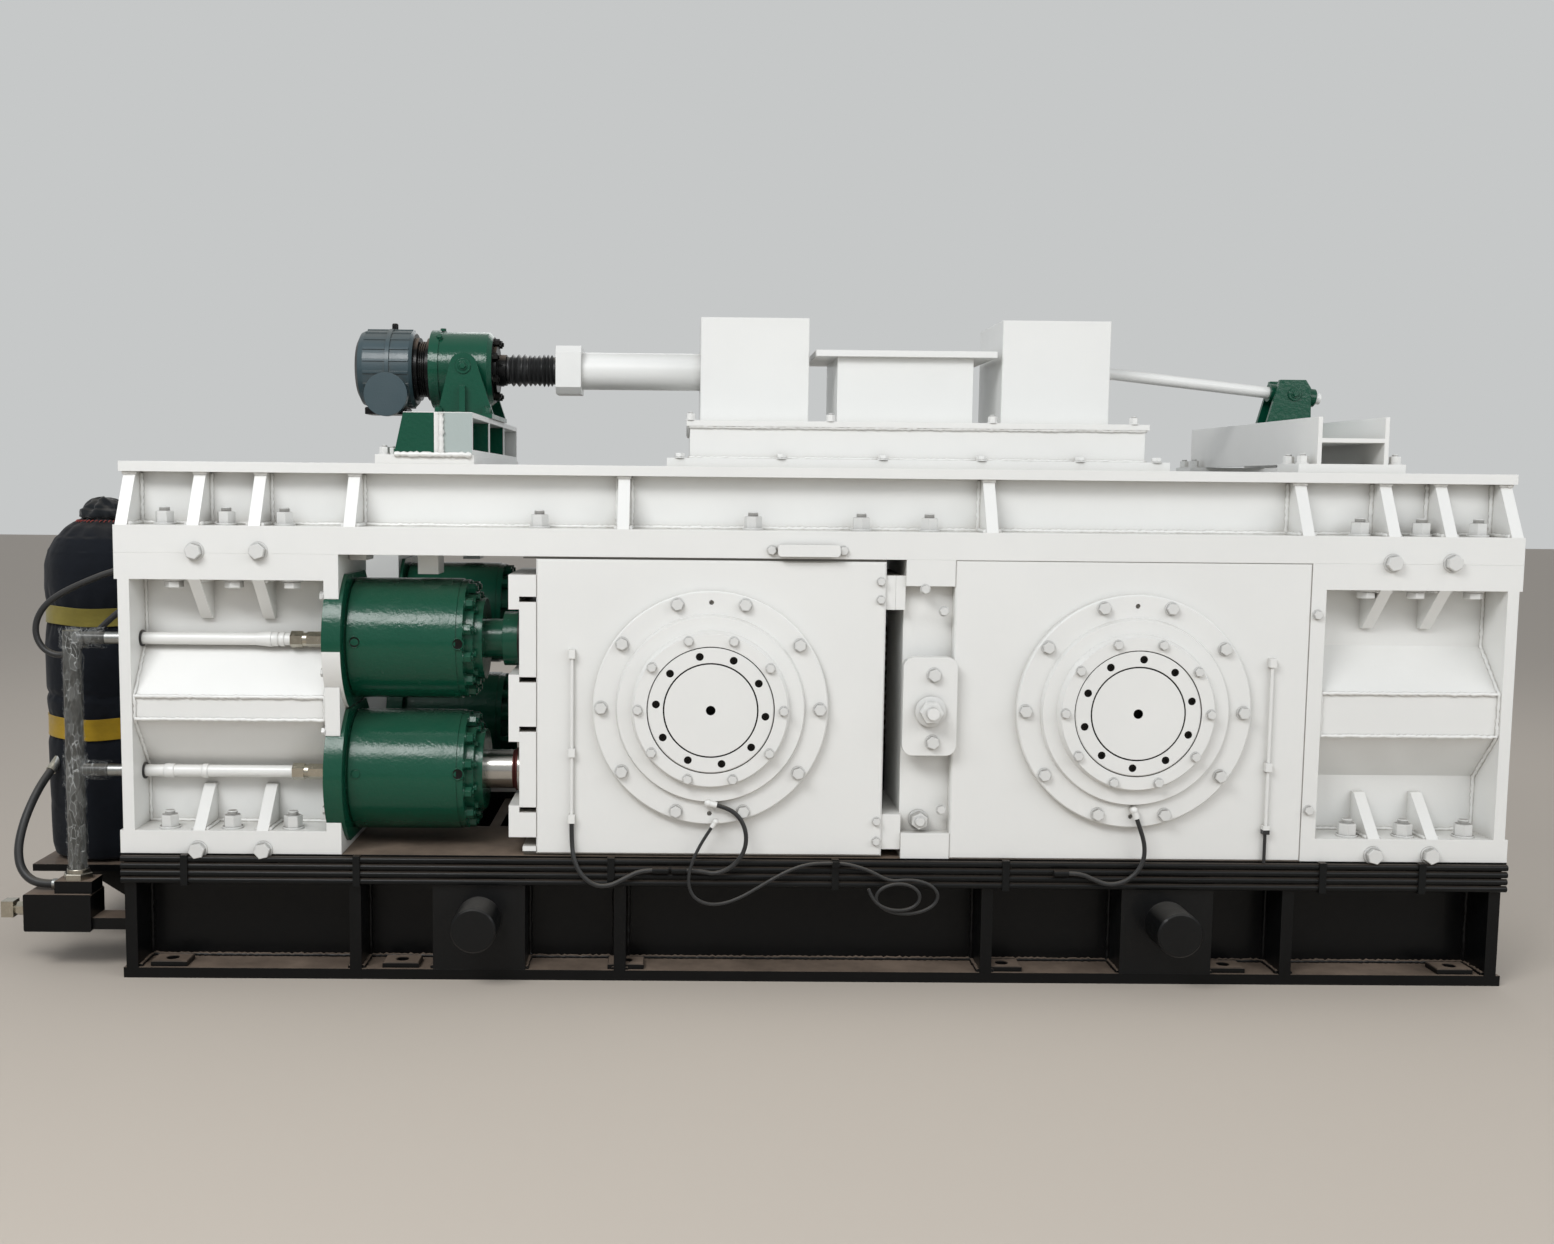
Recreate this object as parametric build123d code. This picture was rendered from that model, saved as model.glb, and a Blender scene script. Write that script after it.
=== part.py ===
from build123d import *
import math
import os

# High pressure grinding roll: two rolls side by side in a welded frame, the left one
# pushed towards the right one by four hydraulic cylinders. Millimetres, +X to the right
# along the machine, +Y away from the operator's side, +Z up, floor at Z = 0.
# The machine mirrors about the XZ plane, apart from the drive shafts, which leave at +Y.

# Frame
FRAME_LENGTH = 4720.0
FRAME_DEPTH = 1500.0
SIDE_DEPTH = 440.0
BASE_HEIGHT = 433.0
WINDOW_HEIGHT = 1017.0
STEEL_PLATE = 40.0
WEB_PLATE = 25.0
WEB_SETBACK = 140.0

# Base
BASE_FLANGE = 36.0
BASE_TOP_PLATE = 28.0
ANCHOR_HOLE = 42.0
ANCHOR_SETBACK = 55.0
ANCHOR_OUTER_X = 2210.0
ANCHOR_MIDDLE_X = 1420.0
ANCHOR_INNER_X = 650.0
BASE_END_SETBACK = 2.0
TRUNNION_RADIUS = 76.0
TRUNNION_REACH = 150.0
TRUNNION_HEIGHT = 214.0
TRUNNION_PLATE = 314.0
BUNDLE_PIPE = 22.0
BUNDLE_PITCH = 24.5
BUNDLE_COUNT = 4
STRAP_PLATE = 4.0

# Hoses and cable on the front
HOSE_DIAMETER = 15.0
CABLE_DIAMETER = 11.0
GREASE_TUBE = 11.0
GREASE_SETBACK = 14.0
COIL_WIDTH = 268.0
COIL_HEIGHT = 138.0
COIL_THICK = 34.0
LOOP_HOSE_DIAMETER = 22.0
RETURN_HOSE_DIAMETER = 30.0

# Top beams
BEAM_SOLE = 93.0
BEAM_HEIGHT = 305.0
BEAM_TOP_PLATE = 35.0
BEAM_TOP_SETBACK = 75.0
BEAM_TOP_WIDTH = 220.0
RIB_LEAN = 95.0

# End posts
POST_HEAD = 88.0
POST_FOOT = 79.0
POST_OUTER_PLATE = 39.0
POST_INNER_PLATE = 50.0
POST_OUTER_SETBACK = 11.0
LEFT_POST_INNER_X = -1614.0
RIGHT_POST_INNER_X = 1648.0
POST_RECESS = 150.0
POST_BAND_RECESS = 15.0
GUSSET = 40.0
GUSSET_LOW_REACH = 137.0
GUSSET_HIGH_REACH = 140.0
GUSSET_FOOT = 20.0

# Rolls
ROLL_DIAMETER = 1400.0
ROLL_WIDTH = 500.0
ROLL_GAP = 24.0
FIXED_ROLL_X = 1055.0
ROLL_AXIS_Z = 947.0
ROLL_BORE = 600.0
JOURNAL_DIAMETER = 400.0
END_DISC_DIAMETER = 420.0
END_DISC_SEAM = 3.0
DRIVE_SHAFT_DIAMETER = 300.0
DRIVE_SHAFT_REACH = 320.0

# Bearing housings and covers
FLOATING_HOUSING_WIDTH = 1172.0
FIXED_HOUSING_WIDTH = 1200.0
HOUSING_SLIDE = 8.0
HOUSING_CHAMFER = 5.0
COVER_DIAMETER = 790.0
COVER_STEP_ONE = 636.0
COVER_STEP_TWO = 532.0
COVER_FLANGE = 30.0
COVER_MIDDLE = 48.0
COVER_REACH = 75.0
DISC_CIRCLE = 183.0
DISC_SCREW_HOLE = 26.0
DISC_SCREW_DEPTH = 12.0

# Centre stop and spacers
STOP_GAP = 66.0
STOP_RECESS = 50.0
SPACER_SETBACK = 12.0
CLAMP_PLATE_WIDTH = 182.0
CLAMP_PLATE_HEIGHT = 332.0

# Cylinders
CYLINDER_FLOOR_GAP = 48.0
CYLINDER_BETWEEN = 44.0
CYLINDER_HEAD_GAP = 89.0
CYLINDER_SETBACK = 220.0
CYLINDER_TUBE = 395.0
CYLINDER_FLANGE_WIDER = 112.0
CYLINDER_FLANGE_THICK = 63.0
CYLINDER_GLAND_NARROWER = 88.0
CYLINDER_GLAND_THICK = 58.0
ROD_DIAMETER = 136.0
CARRIAGE_TRAVEL = 45.0
THRUST_PLATE = 57.0

# Hydraulics at the left end
PIPE_DIAMETER = 42.0
PIPE_SETBACK = 106.0
RISER_FROM_BASE = 190.0
RISER_DIAMETER = 60.0
ACCUMULATOR_DIAMETER = 420.0
ACCUMULATOR_GAP = 7.0
ACCUMULATOR_Y = 250.0
SHELF_TOP = 317.0
ACCUMULATOR_TOP = 1569.0
ACCUMULATOR_SHOULDER = 150.0
MANIFOLD_LEFT_REACH = 167.0
MANIFOLD_RIGHT_REACH = 64.0

# Feed gear on top
FEED_CENTRE_X = 343.0
SUBFRAME_LENGTH = 1576.0
SUBFRAME_DEPTH = 1080.0
SUBFRAME_HEIGHT = 160.0
SUBFRAME_FLANGE = 30.0
SUBFRAME_TOP_PLATE = 20.0
CHUTE_LENGTH = 498.0
CHUTE_DEPTH = 420.0
CHUTE_HEIGHT = 272.0
CHUTE_WALL = 12.0
CHUTE_FLANGE_LENGTH = 660.0
CHUTE_FLANGE_DEPTH = 480.0
CHUTE_FLANGE_THICK = 23.0
GATE_BOX_WIDTH = 398.0
GATE_BOX_DEPTH = 430.0
GATE_BOX_HEIGHT = 387.0
GATE_BOX_OFFSET = 552.0
GATE_BOX_WALL = 10.0

# Gate actuator on the left
GEAR_FOOT_GAP = 28.0
BRACKET_FOOT = 16.0
PUSH_TUBE_DIAMETER = 139.0
COLLAR_SIZE = 179.0
COLLAR_X = -948.0
COLLAR_LENGTH = 95.0
BELLOWS_DIAMETER = 127.0
BELLOWS_LENGTH = 190.0
GEAR_DIAMETER = 292.0
GEAR_LENGTH = 245.0
MOTOR_DIAMETER = 300.0
MOTOR_LENGTH = 216.0
MOTOR_NECK = 61.0
MOTOR_RIB = 6.0
MOTOR_RIB_WIDTH = 9.0
PIVOT_X = -1277.0
TILT_CLEARANCE = 12.0
STAND_RIGHT_X = -1177.0
STAND_WIDTH = 263.0
STAND_LEAN = 32.0
STAND_HEIGHT = 143.0
STAND_PLATE = 18.0

# Adjusting rod on the right
ADJUSTER_DIAMETER = 44.0
ADJUSTER_SLOPE = 6.1
ADJUSTER_PIVOT_X = 1838.0
ADJUSTER_RISE = 183.5
CROSS_BEAM_LEFT_X = 1690.0
CROSS_BEAM_WIDTH = 244.0
CROSS_BEAM_HEIGHT = 160.0
CROSS_BEAM_LENGTH = 1280.0
CROSS_BEAM_PLATE = 15.0
CROSS_BEAM_SOLE_WIDER = 62.0
CROSS_BEAM_SOLE_LENGTH = 185.0
SOLE_PLATE = 30.0

# Fits
SEAT = 0.3
RUNNING = 3.0

# Sizes that follow
HALF_LENGTH = FRAME_LENGTH / 2
FRONT = -FRAME_DEPTH / 2
INNER = FRONT + SIDE_DEPTH
BEAM_BOTTOM = BASE_HEIGHT + WINDOW_HEIGHT
BEAM_TOP = BEAM_BOTTOM + BEAM_HEIGHT
WEB_FRONT = FRONT + WEB_SETBACK
FLOATING_ROLL_X = FIXED_ROLL_X - ROLL_DIAMETER - ROLL_GAP
FLOATING_LEFT = FLOATING_ROLL_X - FLOATING_HOUSING_WIDTH / 2
FLOATING_RIGHT = FLOATING_ROLL_X + FLOATING_HOUSING_WIDTH / 2
FIXED_RIGHT = RIGHT_POST_INNER_X
FIXED_LEFT = FIXED_RIGHT - FIXED_HOUSING_WIDTH
STOP_LEFT = FLOATING_RIGHT + STOP_GAP
CYLINDER_Y = FRONT + CYLINDER_SETBACK
CYLINDER_DIAMETER = (WINDOW_HEIGHT - CYLINDER_FLOOR_GAP - CYLINDER_BETWEEN - CYLINDER_HEAD_GAP) / 2
CYLINDER_RISE = (CYLINDER_DIAMETER + CYLINDER_BETWEEN) / 2
CYLINDER_MIDDLE_Z = BASE_HEIGHT + CYLINDER_FLOOR_GAP + CYLINDER_DIAMETER + CYLINDER_BETWEEN / 2
CYLINDER_HEIGHTS = [CYLINDER_MIDDLE_Z - CYLINDER_RISE, CYLINDER_MIDDLE_Z + CYLINDER_RISE]
CYLINDER_FLANGE = CYLINDER_DIAMETER + CYLINDER_FLANGE_WIDER
CYLINDER_GLAND = CYLINDER_DIAMETER - CYLINDER_GLAND_NARROWER
CYLINDER_FLANGE_X = LEFT_POST_INNER_X - POST_INNER_PLATE
CYLINDER_TUBE_X = CYLINDER_FLANGE_X + CYLINDER_FLANGE_THICK
GLAND_X = CYLINDER_TUBE_X + CYLINDER_TUBE
GLAND_END_X = GLAND_X + CYLINDER_GLAND_THICK
THRUST_FACE_X = FLOATING_LEFT - THRUST_PLATE
PIPE_Y = FRONT + PIPE_SETBACK
SUBFRAME_TOP = BEAM_TOP + SUBFRAME_HEIGHT
BASE_END = HALF_LENGTH - BASE_END_SETBACK
POST_OUTER_X = HALF_LENGTH - POST_OUTER_SETBACK
ACCUMULATOR_X = -BASE_END - ACCUMULATOR_GAP - ACCUMULATOR_DIAMETER / 2
RISER_X = -BASE_END - RISER_FROM_BASE
STAND_TOP = BEAM_TOP + SOLE_PLATE + STAND_HEIGHT
ACTUATOR_Z = STAND_TOP + BRACKET_FOOT + GEAR_FOOT_GAP + GEAR_DIAMETER / 2
CROSS_BEAM_FLOOR = BEAM_TOP + SOLE_PLATE + (CROSS_BEAM_HEIGHT + CROSS_BEAM_PLATE) / 2
ADJUSTER_PIVOT_Z = CROSS_BEAM_FLOOR + ADJUSTER_RISE

# Hoses and cable, each route point as X, distance out from the front plane, Z
HOSE_END_OUT = 33
HOSE_PIPE, HOSE_JOINTS = 1, ((-560, -505), (-495, -445), (800, 850))
CABLE_CLIP, CABLE_REST = 60, 418
FLOATING_GREASE_X, FIXED_GREASE_X = -834, 1521
FLOATING_GREASE, FIXED_GREASE = (565, 791, 1125), (545, 760, 1115)
COVER_PORTS = {"floating": [(-374, 630, (0.97, 0, -0.243), 11, 30), (-348, 566, (-0.55, 0, -0.835), 8, 24)],
               "fixed": [(1060, 616, (0.35, 0, -0.937), 11, 30)]}
FLOATING_GREASE_ROUTE = [
    (-834, 14, 550), (-834, 14, 486), (-825, 35, 428), (-799, 44, 378), (-756, 47, 344),
    (-705, 46, 342), (-655, 39, 366), (-600, 33, 393.5), (-560, 33, 393.5)]
FLOATING_COVER_ROUTE = [
    (-344.9, 49, 622.7), (-305, 49, 612.7), (-268, 53, 584), (-247, 57, 542), (-244, 57, 492),
    (-262, 53, 443), (-300, 46, 404), (-350, 39, 384), (-398, 33, 393.5), (-445, 33, 393.5)]
FIXED_COVER_ROUTE = [
    (1070.6, 49, 587.6), (1085, 49, 549), (1100, 52, 500), (1099, 55, 448), (1077, 54, 403),
    (1036, 49, 368), (984, 43, 357), (940, 37, 372), (893, 33, 393.5), (850, 33, 393.5)]
SENSOR_ROUTE = [
    (-361.3, 46, 545.8), (-386.1, 46, 508.1), (-413, 52, 460), (-433, 58, 408), (-439, 62, 354),
    (-419, 64, 308), (-372, 62, 285), (-316, 58, 288), (-262, 54, 308), (-209, 51, 338),
    (-155, 49, 371), (-97, 47, 402), (-36, 43, 422), (30, 39, 425), (90, 39, 424), (146, 44, 411),
    (192, 47, 393), (226, 47, 373.7)]
COIL_X, COIL_Z, COIL_OUT = 284, 316, 29.5

# Hoses at the left end, each route point as distance out from the frame's end, Y, Z
LOOP_HOSE_ROUTE = [(-HALF_LENGTH - out, y, z) for out, y, z in (
    (41, -576, 1383.5), (86, -575, 1371), (140, -573, 1350), (198, -571, 1325), (256, -570, 1296),
    (308, -570, 1258), (340, -570, 1204), (342, -571, 1146), (310, -574, 1098), (256, -577, 1081),
    (200, -579, 1101), (150, -579, 1143), (104, -578, 1190), (64, -577, 1227), (27, -575.5, 1254))]
RETURN_HOSE_ROUTE = [(-HALF_LENGTH - out, y, z) for out, y, z in (
    (276, -644, 296), (324, -644, 296), (368, -638, 317), (397, -626, 355), (408, -610, 405),
    (407, -590, 455), (401, -566, 503), (393, -537, 546), (384, -505, 585), (373, -472, 621),
    (359, -441, 652))]

# Places along the machine

BASE_STIFFENERS = [30 - HALF_LENGTH, -1570, -670, 584, 1615, HALF_LENGTH - 35]
BUNDLE_CLIPS = [-2140, -1560, -700, 60, 640, 1720, 2060]
TRUNNION_PLACES = [-1150, 1201]
BEAM_RIBS = [27 - HALF_LENGTH, 264 - HALF_LENGTH, LEFT_POST_INNER_X - 278, LEFT_POST_INNER_X + 38, -666, 569,
             RIGHT_POST_INNER_X - 18, RIGHT_POST_INNER_X + 272, HALF_LENGTH - 250, HALF_LENGTH - 27]
GUIDE_BAR = (-46, BEAM_BOTTOM + 28)
BEAM_STOPS = [(-1612, -1554, 26), (-1377, -1307, 72)]
CROSS_MEMBERS = [-1165, 1780]
DISC_SCREWS = 10
DISC_FIRST_SCREW = {"floating": 102, "fixed": 86}
LOW_ROW, HIGH_ROW = CYLINDER_HEIGHTS
POST_SLANT_LOW, POST_SLANT_HIGH = LOW_ROW + 15, HIGH_ROW + 9
POST_BANDS = {-1: (LOW_ROW + 200, HIGH_ROW - 185), 1: (LOW_ROW + 175, HIGH_ROW - 141)}
POST_GUSSETS = {-1: [266 - HALF_LENGTH, LEFT_POST_INNER_X - 267],
                1: [RIGHT_POST_INNER_X + 252, HALF_LENGTH - 260]}
HOOKS = [(HIGH_ROW + 163, HIGH_ROW + 236, HIGH_ROW + 120, HIGH_ROW + 163),
         (LOW_ROW + 186, HIGH_ROW - 126, LOW_ROW + 134, HIGH_ROW - 100),
         (LOW_ROW - 193, LOW_ROW - 108, LOW_ROW - 108, LOW_ROW - 84)]
THRUST_PLATE_GAP = 18
THRUST_PLATES = [(HOOKS[i + 1][1] + THRUST_PLATE_GAP, HOOKS[i][0] - THRUST_PLATE_GAP) for i in (0, 1)]
SPACER_HEIGHTS = (BASE_HEIGHT + 29, BEAM_BOTTOM - 54)
PIPE_HEIGHTS = (LOW_ROW + 7, HIGH_ROW + 2)
PIPE_FITTING_X = -1800
MANIFOLD_LEFT, MANIFOLD_RIGHT = RISER_X - MANIFOLD_LEFT_REACH, RISER_X + MANIFOLD_RIGHT_REACH
MANIFOLD_BOTTOM, MANIFOLD_STEP, MANIFOLD_TOP = 144, 274, 317
MANIFOLD_DEPTH, MANIFOLD_SHOULDER = 124, 14
ROD_BORE_DEPTH = 250
CHEEK_Y, CHEEK = 178, 20
CHEEK_FOOT, CHEEK_TOP, CHEEK_RIB, PIVOT_RADIUS = 110, 50, 30, 28
SCREW_RADIUS = 36
STAND_END = 675
STAND_BAYS = 3
MOTOR_RIBS, MOTOR_NECK_FINS = 20, 4

written = []


def block(x0, x1, y0, y1, z0, z1):
    """A box between two corners."""
    middle = ((x0 + x1) / 2, (y0 + y1) / 2, (z0 + z1) / 2)
    return Pos(*middle) * Box(abs(x1 - x0), abs(y1 - y0), abs(z1 - z0))


def rod_x(x0, x1, y, z, radius):
    """A round bar along X."""
    return Pos((x0 + x1) / 2, y, z) * Rot(0, 90, 0) * Cylinder(radius, abs(x1 - x0))


def rod_y(x, y0, y1, z, radius):
    """A round bar along Y."""
    return Pos(x, (y0 + y1) / 2, z) * Rot(90, 0, 0) * Cylinder(radius, abs(y1 - y0))


def rod_z(x, y, z0, z1, radius):
    """A round bar along Z."""
    return Pos(x, y, (z0 + z1) / 2) * Cylinder(radius, abs(z1 - z0))


def turned_y(x, z, profile):
    """A turned solid about a Y axis, from (radius, y) points."""
    wire = Polyline([(radius, y, 0) for radius, y in profile], close=True)
    return Pos(x, 0, z) * revolve(make_face(wire), Axis.Y)


def turned_x(y, z, profile):
    """A turned solid about an X axis, from (x, radius) points."""
    wire = Polyline([(x, radius, 0) for x, radius in profile], close=True)
    return Pos(0, y, z) * revolve(make_face(wire), Axis.X)


def slab_x(x0, x1, outline):
    """A plate of thickness x0 to x1, from (y, z) outline points."""
    wire = Polyline([(x0, y, z) for y, z in outline], close=True)
    return extrude(make_face(wire), amount=x1 - x0, dir=(1, 0, 0))


def slab_y(y0, y1, outline):
    """A plate of thickness y0 to y1, from (x, z) outline points."""
    wire = Polyline([(x, y0, z) for x, z in outline], close=True)
    return extrude(make_face(wire), amount=y1 - y0, dir=(0, 1, 0))


def rear(shape):
    """The same piece on the far side."""
    return mirror(shape, about=Plane.XZ)


def both(*shapes):
    """Pieces and their mirror images on the far side."""
    return [*shapes, *[rear(shape) for shape in shapes]]


def save(name, *shapes):
    """Write one node, as one solid or as several that do not touch."""
    solids = []
    for shape in shapes:
        solids.extend(shape.solids())
    body = solids[0] if len(solids) == 1 else Compound(children=solids)
    export_step(body, f"parts/{name}.step")
    written.append(name)


# Base

def girder():
    """Front box girder of the base, with its stiffeners and anchor holes."""
    top = BASE_HEIGHT - BASE_TOP_PLATE
    inner_web = INNER - STEEL_PLATE
    body = block(-HALF_LENGTH, HALF_LENGTH, FRONT, INNER, 0, BASE_FLANGE)
    body += block(-HALF_LENGTH, HALF_LENGTH, FRONT, INNER, top, BASE_HEIGHT)
    web_ends = HALF_LENGTH - STEEL_PLATE
    body += block(-web_ends, web_ends, WEB_FRONT, WEB_FRONT + WEB_PLATE, BASE_FLANGE, top)
    body += block(-web_ends, web_ends, inner_web - WEB_PLATE, inner_web, BASE_FLANGE, top)
    for x in BASE_STIFFENERS:
        body += block(x - STEEL_PLATE / 2, x + STEEL_PLATE / 2, FRONT, WEB_FRONT, BASE_FLANGE, top)
    for x in (BASE_STIFFENERS[0], BASE_STIFFENERS[-1]):
        body += block(x - STEEL_PLATE / 2, x + STEEL_PLATE / 2, WEB_FRONT, INNER, BASE_FLANGE, top)
    anchor_y = FRONT + ANCHOR_SETBACK
    for x in (ANCHOR_INNER_X, ANCHOR_MIDDLE_X, ANCHOR_OUTER_X):
        for side in (-x, x):
            body -= rod_z(side, anchor_y, 0, BASE_FLANGE, ANCHOR_HOLE / 2)
    return body


def make_base():
    save("base_girders", *both(girder()))
    top = BASE_HEIGHT - BASE_TOP_PLATE
    ends = []
    for side in (-1, 1):
        outer = side * BASE_END
        ends.append(block(outer - side * STEEL_PLATE, outer, INNER, -INNER, 0, BASE_HEIGHT))
    inner_web = INNER - STEEL_PLATE
    for x in CROSS_MEMBERS:
        ends.append(block(x - STEEL_PLATE / 2, x + STEEL_PLATE / 2, inner_web, -inner_web, BASE_FLANGE, top))
    save("base_cross_members", *ends)
    trunnions = []
    for x in TRUNNION_PLACES:
        half = TRUNNION_PLATE / 2
        plate_top = top - BUNDLE_COUNT * BUNDLE_PITCH * 0.45
        box = block(x - half, x + half, FRONT, WEB_FRONT, BASE_FLANGE, plate_top)
        pin = turned_y(x, TRUNNION_HEIGHT, [
            (0, FRONT - 1), (0, FRONT - TRUNNION_REACH),
            (TRUNNION_RADIUS - 6, FRONT - TRUNNION_REACH), (TRUNNION_RADIUS, FRONT - TRUNNION_REACH + 6),
            (TRUNNION_RADIUS, FRONT - 1)])
        pin += rod_y(x, FRONT - 1, FRONT + 1, TRUNNION_HEIGHT, TRUNNION_RADIUS)
        trunnions.append(box + pin)
    save("lifting_trunnions", *both(*trunnions))
    liners = []
    for z in (BASE_HEIGHT, BEAM_BOTTOM - HOUSING_SLIDE + SEAT):
        liners.append(block(FLOATING_LEFT - CARRIAGE_TRAVEL, FLOATING_RIGHT, FRONT + 20, INNER - 20,
                            z, z + HOUSING_SLIDE - SEAT))
    save("slide_liners", *both(*liners))


def make_pipe_bundle():
    """Lubrication and signal pipes strapped along the front of the base."""
    y = FRONT - 1 - BUNDLE_PIPE / 2
    heights = [BASE_HEIGHT - 15 - BUNDLE_PITCH * i for i in range(BUNDLE_COUNT)]
    end = HALF_LENGTH - 5
    pipes = [rod_x(-end, end, y, z, BUNDLE_PIPE / 2) for z in heights]
    joined = HOSE_PIPE
    for x0, x1 in HOSE_JOINTS:
        pipes[joined] += rod_x(x0, x1, FRONT - HOSE_END_OUT, heights[joined], BUNDLE_PIPE / 2)
    back = FRONT - 1 - BUNDLE_PIPE - SEAT
    front = back - STRAP_PLATE
    top, bottom = heights[0] + BUNDLE_PIPE / 2 + SEAT, heights[-1] - BUNDLE_PIPE / 2 - SEAT
    for x in BUNDLE_CLIPS:
        strap = block(x - 12, x + 12, front, back, bottom - STRAP_PLATE, BASE_HEIGHT)
        strap += block(x - 12, x + 12, front, FRONT, top, BASE_HEIGHT)
        strap += block(x - 12, x + 12, front, FRONT, bottom - STRAP_PLATE, bottom)
        if x == CABLE_CLIP:
            strap += block(x - 12, x + 12, front - 24, front, CABLE_REST - STRAP_PLATE, CABLE_REST)
            strap += block(x - 12, x + 12, front - 24, front - 20, CABLE_REST, CABLE_REST + 14)
        pipes.append(strap)
    save("pipe_bundle", *pipes)


def tangent_radii(points):
    """Radius of each corner's arc: 0.45 of its shorter run, over the tangent of half its turn."""
    radii = []
    for before, corner, after in zip(points, points[1:], points[2:]):
        first, second = Vector(corner) - Vector(before), Vector(after) - Vector(corner)
        half_turn = math.radians(first.get_angle(second)) / 2
        radii.append(0.45 * min(first.length, second.length) / math.tan(half_turn))
    return radii


def hose(name, points, diameter):
    """Plain tube along straight runs and tangent arcs."""
    radii = tangent_radii(points)
    path = FilletPolyline(*points, radius=radii)
    section = Plane(origin=path @ 0, z_dir=path % 0) * Circle(diameter / 2)
    tube = sweep(section, path=path)
    share = tube.volume / (math.pi * diameter**2 / 4 * path.length)
    print(name, "length", round(path.length), "radii", [round(radius) for radius in radii], round(share, 3))
    save(name, tube)


def before_front(route):
    """Route points given as X, distance out from the front plane and Z."""
    return [(x, FRONT - out, z) for x, out, z in route]


def grease_line(x, heights):
    """Rigid grease tube on the front of a housing, with a fitting at each height."""
    y = FRONT - GREASE_SETBACK
    line = rod_z(x, y, heights[0], heights[-1], GREASE_TUBE / 2)
    for z in heights:
        line += block(x - 11, x + 11, y - 10, FRONT, z - 15, z + 15)
    return line


def make_hoses():
    floating = grease_line(FLOATING_GREASE_X, FLOATING_GREASE)
    save("floating_grease_lines", *both(floating))
    fixed = grease_line(FIXED_GREASE_X, FIXED_GREASE)
    drop = rod_z(FIXED_GREASE_X, FRONT - 1 - BUNDLE_PIPE / 2, BASE_HEIGHT - 4 + SEAT, FIXED_GREASE[0],
                 GREASE_TUBE / 2)
    save("fixed_grease_lines", fixed + drop, rear(fixed))
    hose("floating_grease_hose", before_front(FLOATING_GREASE_ROUTE), HOSE_DIAMETER)
    hose("floating_cover_hose", before_front(FLOATING_COVER_ROUTE), HOSE_DIAMETER)
    hose("fixed_cover_hose", before_front(FIXED_COVER_ROUTE), HOSE_DIAMETER)
    hose("sensor_cable", before_front(SENSOR_ROUTE), CABLE_DIAMETER)
    back = Plane(origin=(COIL_X, FRONT - COIL_OUT, COIL_Z), z_dir=(0, -1, 0))
    coil = back * Ellipse(COIL_WIDTH / 2, COIL_HEIGHT / 2)
    save("sensor_coil", extrude(coil, amount=COIL_THICK))


def stub(end, nearer, radius, length):
    """Straight fitting that goes on from the end of a hose, away from its nearest route point."""
    away = (Vector(end) - Vector(nearer)).normalized()
    return Plane(origin=Vector(end) + away * HOSE_PIPE, z_dir=away) * Cylinder(
        radius, length, align=(Align.CENTER, Align.CENTER, Align.MIN))


def wall_port(wall_x, end, nearer):
    """Port on a wall that faces left: a boss, a ball and a stub that meets the end of the hose."""
    radius, length = LOOP_HOSE_DIAMETER / 2 + 3, 22
    away = (Vector(end) - Vector(nearer)).normalized()
    ball = Vector(end) + away * (length + HOSE_PIPE)
    boss = rod_x(ball.X, wall_x, ball.Y, ball.Z, radius)
    return boss + Pos(ball) * Sphere(radius + 2) + stub(end, nearer, radius, length)


def elbow(x, z, direction, radius, length):
    """Hose fitting on a cover's outer ring: a boss with a stub turned along direction."""
    y = FRONT - COVER_FLANGE
    stub_y = y - radius - 8
    boss = rod_y(x, stub_y, y, z, radius)
    turned = Plane(origin=(x, stub_y, z), z_dir=direction) * Cylinder(
        radius, length, align=(Align.CENTER, Align.CENTER, Align.MIN))
    return boss + Pos(x, stub_y, z) * Sphere(radius + 2) + turned


def make_left_ports():
    """Hose ports on the post, the gas bottle and the manifold, and the valve on the manifold."""
    yield wall_port(-HALF_LENGTH, *LOOP_HOSE_ROUTE[:2])
    yield wall_port(-POST_OUTER_X, *LOOP_HOSE_ROUTE[:-3:-1])
    start_x, _, start_z = RETURN_HOSE_ROUTE[0]
    radius = RETURN_HOSE_DIAMETER / 2 + 3
    yield rod_x(start_x + HOSE_PIPE, 2 * RISER_X - MANIFOLD_RIGHT, PIPE_Y, start_z, radius)
    bottle = rod_z(ACCUMULATOR_X, -ACCUMULATOR_Y, SHELF_TOP, ACCUMULATOR_TOP, ACCUMULATOR_DIAMETER / 2)
    yield stub(*RETURN_HOSE_ROUTE[:-3:-1], radius, 54) - bottle
    left = MANIFOLD_LEFT
    middle = (MANIFOLD_BOTTOM + MANIFOLD_STEP) / 2
    nut = Pos(left - 44, PIPE_Y, middle) * Rot(0, 90, 0) * extrude(RegularPolygon(24, 6), 26)
    valve = rod_x(left - 50, left, PIPE_Y, middle, 15) + nut
    yield valve + block(left - 92, left - 50, PIPE_Y - 26, PIPE_Y + 26, middle - 26, middle + 30)


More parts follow.
